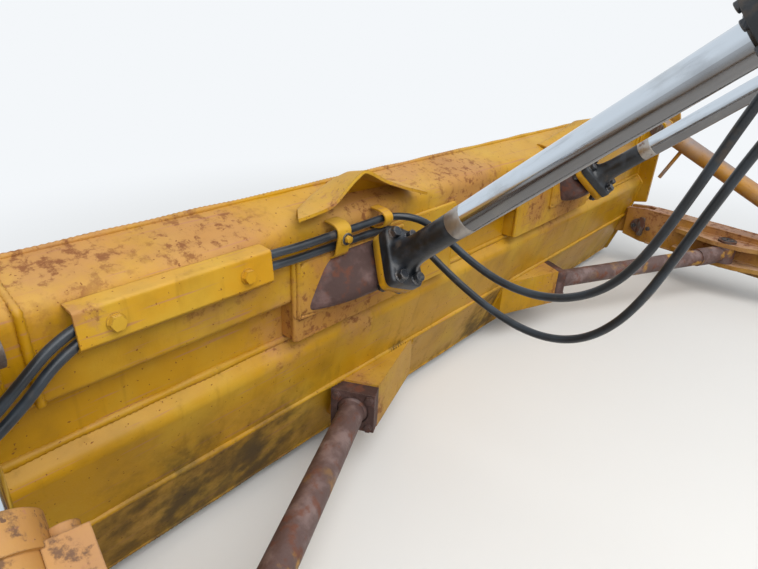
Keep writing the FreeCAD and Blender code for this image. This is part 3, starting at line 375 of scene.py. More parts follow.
class Sketch:
    """A material while its coats are laid one over another."""

    def __init__(self, name: str, colour: str, rough: float, metal: float = 0.0) -> None:
        """Start a material with its first coat.

        Args:
            name: The material's name.
            colour: Hex code of the coat.
            rough: Its roughness.
            metal: Its share of bare metal.
        """
        self.material = bpy.data.materials.new(name)
        self.material.use_nodes = True
        self.tree = self.material.node_tree
        self.tree.nodes.clear()
        self.colour: Any = linear(colour)
        self.rough: Any = rough
        self.metal: Any = metal
        self.place = self.put("TexCoord", out="Object")
        self.facing = self.put("NewGeometry", out="Normal")
        self.softened = self.put("Bevel", {"Radius": 0.0035}, samples=2)

    def put(self, kind: str, inputs: dict[Any, Any] | None = None, out: Any = 0,
            **settings: Any) -> bpy.types.NodeSocket:
        """Add a node to this material and return one of its outputs."""
        return add(self.tree, kind, inputs, out, **settings)

    def patches(self, size: float, low: float, high: float, detail: float = 4.0,
                stretch: tuple[float, float, float] = (1.0, 1.0, 1.0),
                shift: float = 0.0, roughness: float = 0.55) -> bpy.types.NodeSocket:
        """Make a mask of cloudy patches.

        Args:
            size: Size of a patch in millimetres.
            low: Noise value at which the mask begins.
            high: Noise value at which it is full.
            detail: Octaves of finer noise.
            stretch: Scale along each axis, under one for long patches.
            shift: Offset that gives another set of patches.
            roughness: Strength of the finer octaves.

        Returns:
            A mask from nought to one.
        """
        moved = self.put("Mapping", {"Vector": self.place, "Scale": stretch,
                                     "Location": (shift, 0.7 * shift, 0.3 * shift)})
        noise = self.put("TexNoise", {"Vector": moved, "Scale": 1000.0 / size,
                                      "Detail": detail, "Roughness": roughness})
        return self.put("MapRange", {0: noise, 1: low, 2: high},
                        interpolation_type="SMOOTHSTEP")

    def join(self, how: str, *masks: Any) -> Any:
        """Join masks one after another by the same sum, kept within nought and one.

        Args:
            how: The sum, such as MULTIPLY or MAXIMUM.
            *masks: The masks, or numbers in their place.

        Returns:
            The joined mask.
        """
        joined = masks[0]
        for mask in masks[1:]:
            joined = self.put("Math", {0: joined, 1: mask}, operation=how, use_clamp=True)
        return joined

    def ramp(self, vector: Any, axis: str, start: float, end: float) -> bpy.types.NodeSocket:
        """Make a mask that rises along one axis.

        Args:
            vector: The place, in metres, or the direction that the surface faces.
            axis: The axis's letter.
            start: Value along the axis at which the mask begins.
            end: Value at which it is full, also where that is the lower one.

        Returns:
            A mask from nought to one.
        """
        value = self.put("SeparateXYZ", {0: vector}, axis)
        return self.put("MapRange", {0: value, 1: start, 2: end},
                        interpolation_type="SMOOTHSTEP")

    def edges(self, low: float, high: float) -> bpy.types.NodeSocket:
        """Make a mask along edges, where the rounded normal leaves the face's own.

        Args:
            low: Turn, as one less the cosine, at which the mask begins.
            high: Turn at which it is full.

        Returns:
            A mask from nought to one.
        """
        same = self.put("VectorMath", {0: self.softened, 1: self.facing}, "Value",
                        operation="DOT_PRODUCT")
        turn = self.join("SUBTRACT", 1.0, same)
        return self.put("MapRange", {0: turn, 1: low, 2: high},
                        interpolation_type="SMOOTHSTEP")

    def near(self, spots: Spots, ragged: float = 0.06) -> Any:
        """Make a mask round some places, with a ragged outline.

        Args:
            spots: Blade millimetres of each place, and how far its patch reaches.
            ragged: How far noise pushes the outline, in metres.

        Returns:
            A mask from nought to one.
        """
        noise = self.put("TexNoise", {"Vector": self.place, "Scale": 22.0, "Detail": 5.0,
                                      "Roughness": 0.65}, "Color")
        push = self.put("VectorMath", {0: noise, 1: (ragged * 4.0,) * 3, 2: self.place},
                        operation="MULTIPLY_ADD")
        found = []
        for x, y, z, reach in spots:
            centre = row((x, y, z)) + 2.0 * ragged
            far = self.put("VectorMath", {0: push, 1: tuple(centre.tolist())}, "Value",
                           operation="DISTANCE")
            found.append(self.put("MapRange", {0: far, 1: reach / 1000.0, 2: reach / 4000.0},
                                  interpolation_type="SMOOTHSTEP"))
        return self.join("MAXIMUM", 0.0, *found)

    def lay(self, colour: str, rough: float, *masks: Any, metal: float = 0.0) -> None:
        """Lay a coat over what is there.

        Args:
            colour: Hex code of the coat.
            rough: Its roughness.
            *masks: Masks and shares, whose product says how much of it shows.
            metal: Its share of bare metal.
        """
        mask = self.join("MULTIPLY", *masks)
        self.colour = self.put("Mix", {0: mask, 6: self.colour, 7: linear(colour)}, 2,
                               data_type="RGBA")
        self.rough = self.put("Mix", {0: mask, 2: self.rough, 3: rough})
        if not (self.metal == 0.0 and metal == 0.0):
            self.metal = self.put("Mix", {0: mask, 2: self.metal, 3: metal})

    def close(self, heights: tuple[tuple[Any, float, float], ...], soft: bool = True,
              sockets: dict[str, Any] | None = None) -> bpy.types.Material:
        """Put the coats on the shader with their bumps.

        Args:
            heights: For each bump its height mask, strength and depth in millimetres.
            soft: Whether the edges are rounded in the shading.
            sockets: Uniform values set on the shader itself.

        Returns:
            The material.
        """
        normal: Any = self.softened if soft else None
        for height, strength, depth in heights:
            wired = {"Height": height, "Strength": strength, "Distance": depth / 1000.0}
            if normal is not None:
                wired["Normal"] = normal
            normal = self.put("Bump", wired)
        shader = self.put("BsdfPrincipled", {
            "Base Color": self.colour, "Roughness": self.rough, "Metallic": self.metal,
            "Normal": normal, **(sockets or {})})
        self.put("OutputMaterial", {0: shader})
        return self.material


@dataclass(frozen=True)
class Enamel:
    """Air-dried alkyd enamel sprayed on steel plate, aged outdoors.

    Gives the eye a warm ochre with a broken satin gloss, chalky lighter clouds, long fine
    scrapes, rust in pits, along edges and round the joints, and grey-brown earth low down.
    Up-facing faces get a lighter coat, partly dust and partly painted top light, and given
    places low on the blade get painted shade.
    """

    name: str
    colour: str = "#BA8808"
    faded: str = "#C2982C"
    deep: str = "#86600C"
    rust: str = "#6E3A22"
    stain: str = "#A8725A"
    earth: str = "#5B4A38"
    # Colour and share of the up-facing coat, partly dust and partly painted top light.
    dust_and_top_light: str = "#C9A263"
    dust_and_top_light_share: float = 0.40
    wear: float = 1.0
    soil: Soil = Soil.LOW
    rusty: Spots = ()
    # Places, with their reach, of painted shade patches low on the blade.
    painted_shade_spots: Spots = ()

    def build(self) -> bpy.types.Material:
        """Lay the coats from paint to earth.

        Returns:
            The material.
        """
        s = Sketch(self.name, self.colour, 0.42)
        # Sun-bleached clouds about a hand wide, and darker worn ones.
        s.lay(self.faded, 0.55, s.patches(240.0, 0.42, 0.72))
        s.lay(self.deep, 0.48, s.patches(130.0, 0.45, 0.8, shift=3.0), 0.45)
        # Dust settles on faces that look up; the same lighter coat is also painted top light,
        # making up-facing faces lighter as light from above would.
        s.lay(self.dust_and_top_light, 0.8, s.ramp(s.facing, "Z", 0.3, 0.95), s.patches(160.0, 0.1, 0.8),
              self.dust_and_top_light_share)
        # Drip lines run down the faces, about 12 mm wide.
        s.lay(self.deep, 0.6, s.patches(34.0, 0.56, 0.72, 5.0, (1.0, 1.0, 0.10), 7.0), 0.3)
        # Scrapes along the blade, 3 mm wide in life and drawn 6 mm wide so that they show.
        s.lay(self.stain, 0.62, s.patches(9.0, 0.63, 0.70, 2.0, (0.035, 1.0, 1.0), 11.0), 0.55)
        pits = s.patches(16.0, 0.66, 0.74, 6.0, shift=5.0, roughness=0.7)
        lots = s.patches(320.0, 0.45, 0.7, 3.0, shift=9.0)
        # Pits come in clusters, and a tenth of them lies between the clusters.
        pits = s.join("MULTIPLY", pits, s.join("ADD", s.join("MULTIPLY", lots, 0.9), 0.1))
        rim = s.join("MULTIPLY", s.edges(0.03, 0.20), s.patches(30.0, 0.42, 0.62, 5.0),
                     self.wear)
        specks = s.join("MULTIPLY", s.patches(11.0, 0.69, 0.73, 2.0, shift=13.0), 0.8)
        bare = s.join("MAXIMUM", pits, rim, specks)
        if self.rusty:
            place = s.near(self.rusty)
            s.lay(self.stain, 0.7, place, 0.45)
            grain = s.patches(34.0, 0.50, 0.62, 9.0, shift=2.0, roughness=0.7)
            bare = s.join("MAXIMUM", bare, s.join("MULTIPLY", place, grain, 0.75))
        s.lay(self.rust, 0.88, bare)
        # Painted shade: near-black patches at given places low on the blade's bevel face, where
        # shade falls.
        if self.painted_shade_spots:
            s.lay("#2B2620", 0.8, s.near(self.painted_shade_spots), s.patches(90.0, 0.25, 0.6, 5.0), 0.85)
        crust = []
        if self.soil is not Soil.NONE:
            clods = s.join("MULTIPLY", s.ramp(s.place, "Z", self.soil.value, -0.20),
                           s.patches(55.0, 0.40, 0.66, 8.0, shift=4.0))
            s.lay(self.earth, 0.95, clods, 0.85)
            crust = [(clods, 0.6, 4.0)]
        dents = s.patches(260.0, 0.2, 0.8, 1.0, shift=6.0)
        peel = s.patches(6.0, 0.3, 0.7, 2.0)
        return s.close(((dents, 0.5, 14.0), (peel, 0.25, 0.5), (bare, 0.5, -1.2), *crust),
                       sockets={"Specular IOR Level": 0.32})


@dataclass(frozen=True)
class Rusted:
    """Cast or rolled steel left to rust, its mill skin gone.

    Gives the eye a matt red-brown with purple and orange clouds and a pitted grain. Where a
    paint is named, flakes of it are left to the rear of one distance along the machine.
    """

    name: str
    colour: str = "#432D28"
    light: str = "#654B46"
    bright: str = "#6A3C28"
    paint: str = ""
    paint_from: float = 0.0
    gloss: float = 0.72

    def build(self) -> bpy.types.Material:
        """Lay light and orange clouds over brown.

        Returns:
            The material.
        """
        s = Sketch(self.name, self.colour, self.gloss)
        s.lay(self.light, self.gloss - 0.14, s.patches(70.0, 0.45, 0.68, 5.0))
        s.lay(self.bright, 0.9, s.patches(45.0, 0.52, 0.66, 6.0, shift=4.0), 0.75)
        if self.paint:
            s.lay(self.paint, 0.5, s.patches(95.0, 0.55, 0.66, 7.0, shift=8.0),
                  s.ramp(s.place, "Y", self.paint_from, self.paint_from + 0.25))
        s.lay("#8B7A70", 0.5, s.edges(0.04, 0.3), 0.5)
        grain = s.patches(7.0, 0.3, 0.7, 5.0, roughness=0.7)
        return s.close(((s.patches(60.0, 0.2, 0.8, 3.0, shift=1.0), 0.5, 4.0),
                        (grain, 0.5, 0.9)))


@dataclass(frozen=True)
class BlackPaint:
    """Gloss black enamel on forged steel, dusty and scuffed.

    Gives the eye a blue-black with broad soft glints, brown dust in the hollows and grey
    bare metal on the corners.
    """

    name: str

    def build(self) -> bpy.types.Material:
        """Lay scuffs and dust over black.

        Returns:
            The material.
        """
        s = Sketch(self.name, "#15181C", 0.32)
        s.lay("#2C3138", 0.45, s.patches(38.0, 0.45, 0.7, 5.0))
        s.lay("#4F4338", 0.8, s.patches(55.0, 0.55, 0.72, 6.0, shift=3.0), 0.7)
        s.lay("#7E858C", 0.4, s.edges(0.05, 0.3), s.patches(18.0, 0.4, 0.6), 0.8)
        return s.close(((s.patches(9.0, 0.3, 0.7, 3.0), 0.35, 0.6),))


@dataclass(frozen=True)
class Chrome:
    """Hard chrome plating on a ground and polished steel rod.

    Gives the eye a bright cool mirror with faint lengthwise wiping marks and a thin oil
    film that dulls it in bands, and a painted dark reflection along its underside.
    """

    name: str

    def build(self) -> bpy.types.Material:
        """Lay a dull film over the plating.

        Returns:
            The material.
        """
        s = Sketch(self.name, "#CDD6DF", 0.10, 1.0)
        marks = s.patches(14.0, 0.5, 0.75, 4.0, (1.0, 0.12, 0.12), 2.0)
        s.lay("#B7BEC6", 0.26, marks, metal=1.0)
        # Painted shade on the underside: it is darkened, standing in for the reflection of dark
        # ground below.
        s.lay("#5A5450", 0.20, s.ramp(s.facing, "Z", 0.30, -0.30), 0.85, metal=1.0)
        s.lay("#8E8C86", 0.38, s.patches(170.0, 0.5, 0.75, shift=5.0), 0.45, metal=0.85)
        return s.close(((marks, 0.06, 0.2),), False)


@dataclass(frozen=True)
class Rubber:
    """Extruded nitrile cover of a hydraulic hose.

    Gives the eye a near-black with a soft blue sheen, the fine cloth print of its wrapping
    and brown dust.
    """

    name: str

    def build(self) -> bpy.types.Material:
        """Lay dust and cloth print over black.

        Returns:
            The material.
        """
        s = Sketch(self.name, "#1A1F24", 0.32)
        s.lay("#2C343C", 0.42, s.patches(90.0, 0.42, 0.68))
        s.lay("#5A4E42", 0.85, s.patches(60.0, 0.58, 0.74, 6.0, shift=3.0), 0.6)
        # The wrap's weave is 1 mm and is drawn at 3 mm so that it shows.
        return s.close(((s.patches(3.0, 0.3, 0.7, 1.0), 0.2, 0.25),), False,
                       {"Sheen Weight": 0.12, "Sheen Roughness": 0.4})


@dataclass(frozen=True)
class BareSteel:
    """Unpainted steel, scoured by earth or darkened by handling.

    Gives the eye a dull metal with brown rust bloom in clouds and brighter rubbed edges.
    """

    name: str
    colour: str
    bloom: str
    rough: float = 0.42
    metal: float = 0.85
    rusted: tuple[float, float] = (0.45, 0.62)

    def build(self) -> bpy.types.Material:
        """Lay rust bloom and rubbed edges over steel.

        Returns:
            The material.
        """
        s = Sketch(self.name, self.colour, self.rough, self.metal)
        drag = s.patches(12.0, 0.45, 0.7, 4.0, (0.5, 1.0, 0.15), 4.0)
        s.lay("#8E8A86", self.rough - 0.1, drag, 0.5, metal=self.metal)
        s.lay(self.bloom, 0.85, s.patches(48.0, *self.rusted, 6.0, shift=2.0), metal=0.05)
        s.lay("#A39E99", 0.35, s.edges(0.05, 0.3), 0.6, metal=0.95)
        grain = s.patches(6.0, 0.3, 0.7, 4.0, roughness=0.65)
        return s.close(((grain, 0.35, 0.6), (drag, 0.2, 0.5)))


class Look(Enum):
    """Every finish, with the words that the names of its CAD nodes begin with."""

    BLADE = (Enamel(
        "aged_ochre_enamel_blade",
        rusty=((983, 188, 640, 170), (700, 165, 560, 120), (1190, 150, 935, 260),
               (150, 150, 940, 300), (-420, 188, 690, 110), (-700, 190, 690, 260),
               (700, 190, 860, 260), (-1900, 120, 960, 260), (1500, 20, 972, 260),
               (400, 20, 972, 200), (720, 60, 1020, 90)),
        painted_shade_spots=((1350, 110, 190, 330), (1050, 110, 170, 300), (430, 110, 260, 150),
               (-300, 90, 150, 260))),
        "mouldboard toe_bar upper_box recess_plate lower_box bevel_plate end_plate")
    GUARDS = (Enamel(
        "aged_ochre_enamel_guards", colour="#C48E12", wear=0.8, soil=Soil.NONE,
        rusty=((620, 200, 1000, 70), (850, 220, 980, 60), (1544, 200, 900, 60))),
        "rod_guard hose_guard hose_clamps")
    PADS = (Enamel(
        "aged_ochre_enamel_pads", soil=Soil.NONE, stain="#9C5F4C",
        rusty=((760, 190, 700, 300), (-760, 190, 700, 300), (960, 188, 640, 190),
               (880, 190, 850, 120), (-420, 188, 700, 150))),
        "lift_pad link_lug")
    BRACKETS = (Enamel(
        "aged_ochre_enamel_brackets", soil=Soil.HIGH,
        rusty=((740, 160, 230, 190), (-740, 160, 230, 190), (690, 240, 200, 120),
               (-690, 240, 200, 120))),
        "brace_bracket")
    ARMS = (Enamel(
        "aged_ochre_enamel_arms", colour="#A8771F", faded="#B98F4C", deep="#6B4A1C",
        dust_and_top_light="#CDB09A", dust_and_top_light_share=1.0, soil=Soil.HIGH,
        rusty=((1930, 330, 380, 260), (-1930, 330, 380, 260), (-1900, 760, 380, 300),
               (1900, 760, 380, 300), (-1930, 1500, 300, 330))),
        "push_arm arm_lug")
    BARRELS = (Enamel(
        "aged_ochre_enamel_cylinders", rust="#4E3B37", soil=Soil.NONE, dust_and_top_light_share=0.25,
        dust_and_top_light="#A9A3A6",
        rusty=((1758, 600, 745, 260), (1897, 600, 745, 220), (1758, 840, 745, 260))),
        "tilt_barrel tilt_port lift_barrel lift_yoke trunnion_cap")
    STRUT = (Enamel(
        "worn_orange_enamel_strut", colour="#B9822B", faded="#8C8E96", deep="#6E6A70",
        dust_and_top_light="#777C88", dust_and_top_light_share=1.0, soil=Soil.NONE), "strut_right")
    CASTING = (Rusted("rusted_steel_casting"), "lift_ball brace_cap")
    BRACE = (Rusted(
        "rusted_tube_with_paint_left", colour="#5A443F", light="#7E6863", bright="#6E402C",
        paint="#B5852D", gloss=0.55, paint_from=-2.02), "brace_left brace_right")
    FORGING = (BlackPaint("gloss_black_enamel_forging"), "rod_socket rod_cap lift_gland")
    CHROME = (Chrome("hard_chrome_plated_rod"), "lift_rod tilt_rod")
    RUBBER = (Rubber("nitrile_hose_cover"), "hose_upper hose_lower")
    PIN = (BareSteel(
        "handled_brown_steel_pins", colour="#584C45", bloom="#5C3A2B", rough=0.5, metal=0.6),
        "arm_pin brace_pin link_pins trunnion_left trunnion_right")
    EDGE = (BareSteel(
        "scoured_steel_cutting_edge", colour="#74706C", bloom="#5A3D2C"),
        "cutting_edge end_bit")
    ZINC = (BareSteel(
        "zinc_plated_hose_ends", colour="#B3AE9E", bloom="#6B5A44", rough=0.34, metal=0.95,
        rusted=(0.6, 0.75)), "hose_fittings")
    SHOULDER = (BareSteel(
        "scuffed_steel_shoulder", colour="#A9A49E", bloom="#6E4433", rough=0.38, metal=0.8,
        rusted=(0.54, 0.66)), "")
    BOLT = (BareSteel(
        "phosphated_steel_bolts", colour="#3A3E44", bloom="#4A3A30", rough=0.4, metal=0.8,
        rusted=(0.55, 0.7)), "")

    def __init__(self, finish: Any, words: str) -> None:
        """Take the finish and its words apart."""
        self.finish = finish
        self.words = tuple(words.split())

    @property
    def material(self) -> bpy.types.Material:
        """Return the material that dress() has built."""
        return bpy.data.materials[self.finish.name]


def dress(nodes: dict[str, bpy.types.Object]) -> None:
    """Build every finish and give each CAD node the one of the real piece.

    Args:
        nodes: The frame's nodes by name.
    """
    for look in Look:
        look.finish.build()
    for name, node in nodes.items():
        found = [look for look in Look if name.startswith(look.words)]
        if found:
            node.data.materials.clear()
            node.data.materials.append(found[0].material)
        else:
            LOG.warning("no finish for %s", name)


# Sub-assemblies.


@dataclass
class Welds:
    """Fillet welds along the blade's seams and round its brackets, in millimetres."""

    ripple: float = 14.0
    step: float = 7.0

    def bead(self, skin: Skin, corners: Any, size: float) -> None:
        """Add one weld bead along a line.

        The bead is a tube whose radius is its size times one plus a fifth of a ripple
        along its length plus a slow wander, so that it looks laid by hand.

        Args:
            skin: The skin it is added to.
            corners: Corners of the line.
            size: Size of the bead.
        """
        path = along(corners, self.step)
        length = np.arange(len(path)) * self.step
        wander = np.sin(length / 91.0 + path[0, 0]) + np.sin(length / 37.0 + path[0, 2])
        swell = size * (1.0 + 0.20 * np.abs(np.sin(math.pi * length / self.ripple))
                        + 0.10 * wander)
        path = path + 0.10 * size * np.sin(length / 53.0)[:, None] * np.array((0.0, 0.6, 0.8))
        skin.grid(sweep(path, swell, swell, 2.0, (0.31, 0.57, 0.76), 8))

    def both(self, name: str, look: Look, lines: Any) -> None:
        """Lay the same beads on both sides.

        Args:
            name: Name of the piece.
            look: Its finish.
            lines: Size and corners of each bead on the left side.
        """
        skin = Skin()
        for side in Side:
            for size, corners in lines:
                self.bead(skin, np.array(corners) * (side.value, 1.0, 1.0), size)
        skin.piece(name, "blade_frame", look.material, "yellow_paint", 60.0)

    def build(self) -> None:
        """Lay the long seams, the ends' seams, and those of the brackets and arms."""
        skin = Skin()
        wide = HALF - 4.0
        for y, z, size in ((22.0, 973.0, 7.0), (126.5, 581.5, 9.5), (126.5, 702.0, 6.5),
                           (126.0, 323.5, 9.0), (33.0, 50.0, 5.0)):
            self.bead(skin, ((-wide, y, z), (wide, y, z)), size)
        skin.piece("weld_long_seams", "blade_frame", Look.BLADE.material, "yellow_paint", 60.0)
        end = HALF - 1.0
        self.both("weld_end_seams", Look.BLADE, (
            (6.5, ((end, 36, 50), (end, 126, 323), (end, 168, 540), (end, 127, 582),
                   (end, 127, 701), (end, 177, 718), (end, 177, 926), (end, 30, 972))),
            (8.5, ((1617, 178, 720), (1617, 178, 926), (1617, 60, 963)))))
        self.both("weld_bracket_seams", Look.PADS, (
            (6.0, ((247, 180, 851), (981, 180, 851))),
            (8.0, ((245, 181, 600), (245, 181, 849))),
            (8.0, ((983, 181, 600), (983, 181, 849))),
            (6.5, ((545, 190, 671), (545, 190, 839), (975, 190, 839), (975, 190, 671),
                   (545, 190, 671))),
            (7.0, ((345, 127, 323), (744, 127, 323))),
            (6.5, ((345, 70, 154), (345, 125, 320))),
            (6.0, ((1672, 180, 752), (1672, 180, 905), (1844, 180, 905), (1844, 180, 752),
                   (1672, 180, 752))),
            *((5.0, ((x, 189, 778), (x, 189, 902))) for x in (1688, 1708, 1808, 1828))))
        self.both("weld_arm_seams", Look.ARMS, (
            *((5.0, ((x, 300, 397 - low), (x, 2180, 323.8 - low)))
              for x in (1877.5, 1982.5) for low in (2.5, 212.5)),
            *((5.0, ((1874, 474, z), (1874, 1086, z))) for z in (192, 219, 311, 338)),
            *((5.0, ((x, 1046, 366), (x, 1214, 362))) for x in (1828, 1848, 1948, 1968))))


@dataclass
class BallMount:
    """The cast ball mount on the blade that carries one lift rod, in millimetres."""

    side: Side
    ball: float = 52.0
    neck: float = 46.0
    reach: float = 760.0
    plate: tuple[float, float] = (215.0, 84.0)

    def build(self) -> None:
        """Sweep the casting from its base plate to its ball, and make the plate.

        The middle line is a curve of second degree from the plate's middle to the neck, and
        then runs straight through the ball. The section turns from upright to square to the
        rod as it goes, and it changes from a wide rounded rectangle through a squashed oval
        to a circle, whose radius in the ball is the root of the ball's radius squared less
        the distance squared.
        """
        sign = self.side.value
        centre = self.side.ball
        foot = np.array((sign * self.reach, 188.3, 755.0))
        knee = np.array((sign * (self.reach - 18.0), 244.0, 760.0))
        neck = centre - WAY * self.neck
        t = np.linspace(0.0, 1.0, 17)[1:, None]
        curve = (1 - t) ** 2 * foot + 2 * t * (1 - t) * knee + t ** 2 * neck
        reach = np.linspace(-44.0, self.ball - 0.05, 22)
        path = np.concatenate((curve, centre + WAY * reach[:, None]))
        share = np.linspace(0.0, 1.0, len(curve))
        globe = np.sqrt(np.maximum(self.ball ** 2 - reach ** 2, 0.0))
        globe = np.maximum(globe, np.where(reach < -30.0, 34.0, 0.0))
        wide = np.concatenate((128.0 * (1 - share) ** 0.9 + 37.0, globe))
        tall = np.concatenate((41.0 * (1 - share ** 1.6) + 36.0, globe))
        power = np.concatenate((6.5 - 4.4 * share ** 0.8, np.full(len(reach), 2.0)))
        lift = RISE * np.concatenate((share, np.ones(len(reach))))
        upright = np.stack((0.0 * lift, -np.sin(lift), np.cos(lift)), axis=1)
        u, v = ovals(wide, tall, power, len(path), 48)
        body = path[:, None, :] + u * ACROSS + v * upright[:, None, :]
        # The foot leans outwards as it goes down.
        lean = np.clip((275.0 - body[..., 1]) / 80.0, 0.0, 1.0) * (755.0 - body[..., 2])
        body[..., 0] += sign * 0.55 * lean
        word = self.side.word
        Skin().grid(body).piece("ball_casting_" + word, "blade_frame", Look.CASTING.material,
                                "yellow_paint", 50.0, "lift_ball_" + word)
        layers = foot + np.array((0.1, 7.0, 10.0, 11.6))[:, None] * REAR
        half, high = self.plate
        plate = sweep(layers, (high, high, high - 3.0, high - 8.0),
                      (half, half, half - 4.0, half - 12.0), 9.0, ACROSS, 64)
        Skin().grid(plate).piece("casting_plate_" + word, "blade_frame", Look.PADS.material,
                                 "yellow_paint", 40.0, "lift_ball_" + word)


@dataclass
class RodEnd:
    """The forged socket, its cap and its bolts on one lift rod, in millimetres."""

    side: Side
    seat: float = 52.3
    lean: float = 25.0
    bolt_wide: float = 29.0
    bolt_tall: float = 65.0

    def axes(self) -> tuple[np.ndarray, np.ndarray]:
        """Find the forging's wide and tall directions, turned about the rod by its lean.

        Returns:
            Both directions, square to the rod.
        """
        turn = -math.radians(self.lean) * self.side.value
        upright = np.array((0.0, -WAY[2], WAY[1]))
        tall = upright * math.cos(turn) + np.cross(WAY, upright) * math.sin(turn)
        return np.cross(tall, WAY), tall

    def rings(self, stations: Any, inner: np.ndarray) -> np.ndarray:
        """Stack rings of the forging along its axis.

        Each ring is a superellipse square to the axis; those of the seat are circles whose
        radius is the root of the seat's radius squared less the distance squared.

        Args:
            stations: Rows of distance, half width, half height and power.
            inner: Distances of the hollow's rings, from its middle to its rim.

        Returns:
            A grid, the hollow's rows first.
        """
        wide, tall = self.axes()
        bowl = np.sqrt(self.seat ** 2 - inner ** 2)
        hollow = np.stack((inner, bowl, bowl, np.full(len(inner), 2.0)), axis=1)
        shape = np.concatenate((hollow, stations))
        u, v = ovals(shape[:, 1], shape[:, 2], shape[:, 3], len(shape), 48)
        axis = self.side.ball + shape[:, :1] * WAY
        return axis[:, None, :] + u * wide + v * tall

    def build(self) -> None:
        """Make the socket, the cap, their bolts and the bare shoulder by the rod."""
        word = self.side.word
        body = "lift_rod_" + word
        centre = self.side.ball
        wide, tall = self.axes()
        socket = self.rings((
            (0.4, 55, 83, 7), (2.5, 57, 86, 7), (29, 57, 86, 7), (33, 56, 84.5, 6),
            (35.5, 53, 80, 5), (37, 51.5, 62, 3.2), (41, 50, 56, 2.5), (48, 48.5, 51.5, 2.1),
            (60, 45.5, 46.5, 2), (76, 42.5, 42.8, 2), (96, 40.6, 40.6, 2),
            (122, 39.6, 39.6, 2), (160, 39, 39, 2), (237, 38.6, 38.6, 2), (240, 38, 38, 2),
            (268, 38, 38, 2), (289, 38, 38, 2), (290, 37, 37, 2)),
            np.linspace(self.seat - 0.1, 0.4, 10))
        Skin().grid(socket).piece("socket_forging_" + word, body, Look.FORGING.material,
                                  "black_paint", 42.0, "rod_socket_" + word)
        cap = self.rings(((-34.2, 47.2, 47.2, 2), (-34.2, 49, 76, 4), (-32, 53, 82, 5.5),
                          (-28, 56, 85, 6), (-3, 56, 85, 6), (-0.4, 54.5, 83, 6)),
                         np.linspace(-0.4, -30.6, 8))
        Skin().grid(cap, ring=True).piece("cap_forging_" + word, body, Look.GUARDS.material,
                                          "yellow_paint", 42.0, "rod_cap_" + word)
        skin = Skin()
        for u in (-self.bolt_wide, self.bolt_wide):
            for w in (-self.bolt_tall, self.bolt_tall):
                spot = centre + wide * u + tall * w
                skin.grid(turned(spot + WAY * 33.0, WAY, ((0, 18), (5, 18), (6, 16.5))))
                skin.grid(hexed(spot + WAY * 38.5, WAY, 28.0, 19.0, 0.4 + u / 90.0))
                skin.grid(turned(spot - WAY * 33.5, -WAY, ((0, 17), (3.5, 17), (4.5, 15.5))))
                skin.grid(hexed(spot - WAY * 37.5, -WAY, 27.0, 14.0, 0.9 + w / 90.0))
                skin.grid(turned(spot - WAY * 51.0, -WAY, ((0, 8.5), (7, 8.5), (9, 7)), 20))
        skin.piece("socket_bolts_" + word, body, Look.BOLT.material, "dark_steel", 35.0)
        collar = turned(centre, WAY, ((238, 38.2), (240, 39.2), (262, 39.2), (264, 39.85),
                                      (286, 39.85), (289, 39.4), (290.5, 38.2)), 40)
        Skin().grid(collar).piece("rod_collar_" + word, body, Look.SHOULDER.material,
                                  "worn_steel", 50.0)


@dataclass
class RodGuard:
    """The bent plate hood on the blade's top that keeps earth off one lift rod's end."""

    side: Side
    thick: float = 9.0

    def build(self) -> None:
        """Stretch a plate between three lines and give it its thickness.

        The plate runs from its foot on the blade's top, over its front bend, to its rear
        edge. Each line is read off at even shares between its points and rounded, the rows
        between two lines are at even shares of their distance, and the lower face lies one
        thickness under the upper one, along the normal.
        """
        lines = np.array((
            ((928, 130, 941), (846, 88, 954), (776, 74, 958), (748, 84, 955),
             (690, 88, 954), (600, 94, 952), (490, 98, 950)),
            ((934, 142, 966), (850, 112, 986), (778, 104, 1010), (752, 142, 1037),
             (692, 130, 1014), (600, 122, 984), (486, 114, 955)),
            ((1000, 222, 971), (886, 222, 979), (813, 222, 1034), (762, 222, 1061),
             (671, 222, 1013), (577, 222, 976), (469, 222, 941))), float)
        share = np.linspace(0.0, 6.0, 73)
        columns = lines.transpose(0, 2, 1).reshape(9, 7)
        edges = np.stack([np.interp(share, np.arange(7), one) for one in columns], axis=1)
        edges = ease(edges.reshape(73, 3, 3), 10)
        step = np.linspace(0.0, 1.0, 9)[None, :, None]
        foot, bend, rim = edges.transpose(1, 0, 2)[:, :, None, :]
        top = np.concatenate((foot + (bend - foot) * step, (bend + (rim - bend) * step)[:, 1:]),
                             axis=1)
        top = ease(top.swapaxes(0, 1), 2).swapaxes(0, 1)
        normal = unit(np.cross(np.gradient(top, axis=1), np.gradient(top, axis=0)))
        normal = normal * np.sign(normal[..., 2:])
        under = top - normal * self.thick
        middle = 0.5 * (top + under)
        plate = np.concatenate((top, under[:, ::-1]), axis=1)
        shut = np.concatenate((middle, middle[:, ::-1]), axis=1)
        plate = np.concatenate((shut[:1], plate, shut[-1:])) * (self.side.value, 1.0, 1.0)
        word = self.side.word
        Skin().grid(plate, ends=False).piece(
            "guard_hood_" + word, "blade_frame", Look.GUARDS.material, "yellow_paint", 35.0,
            "rod_guard_" + word)


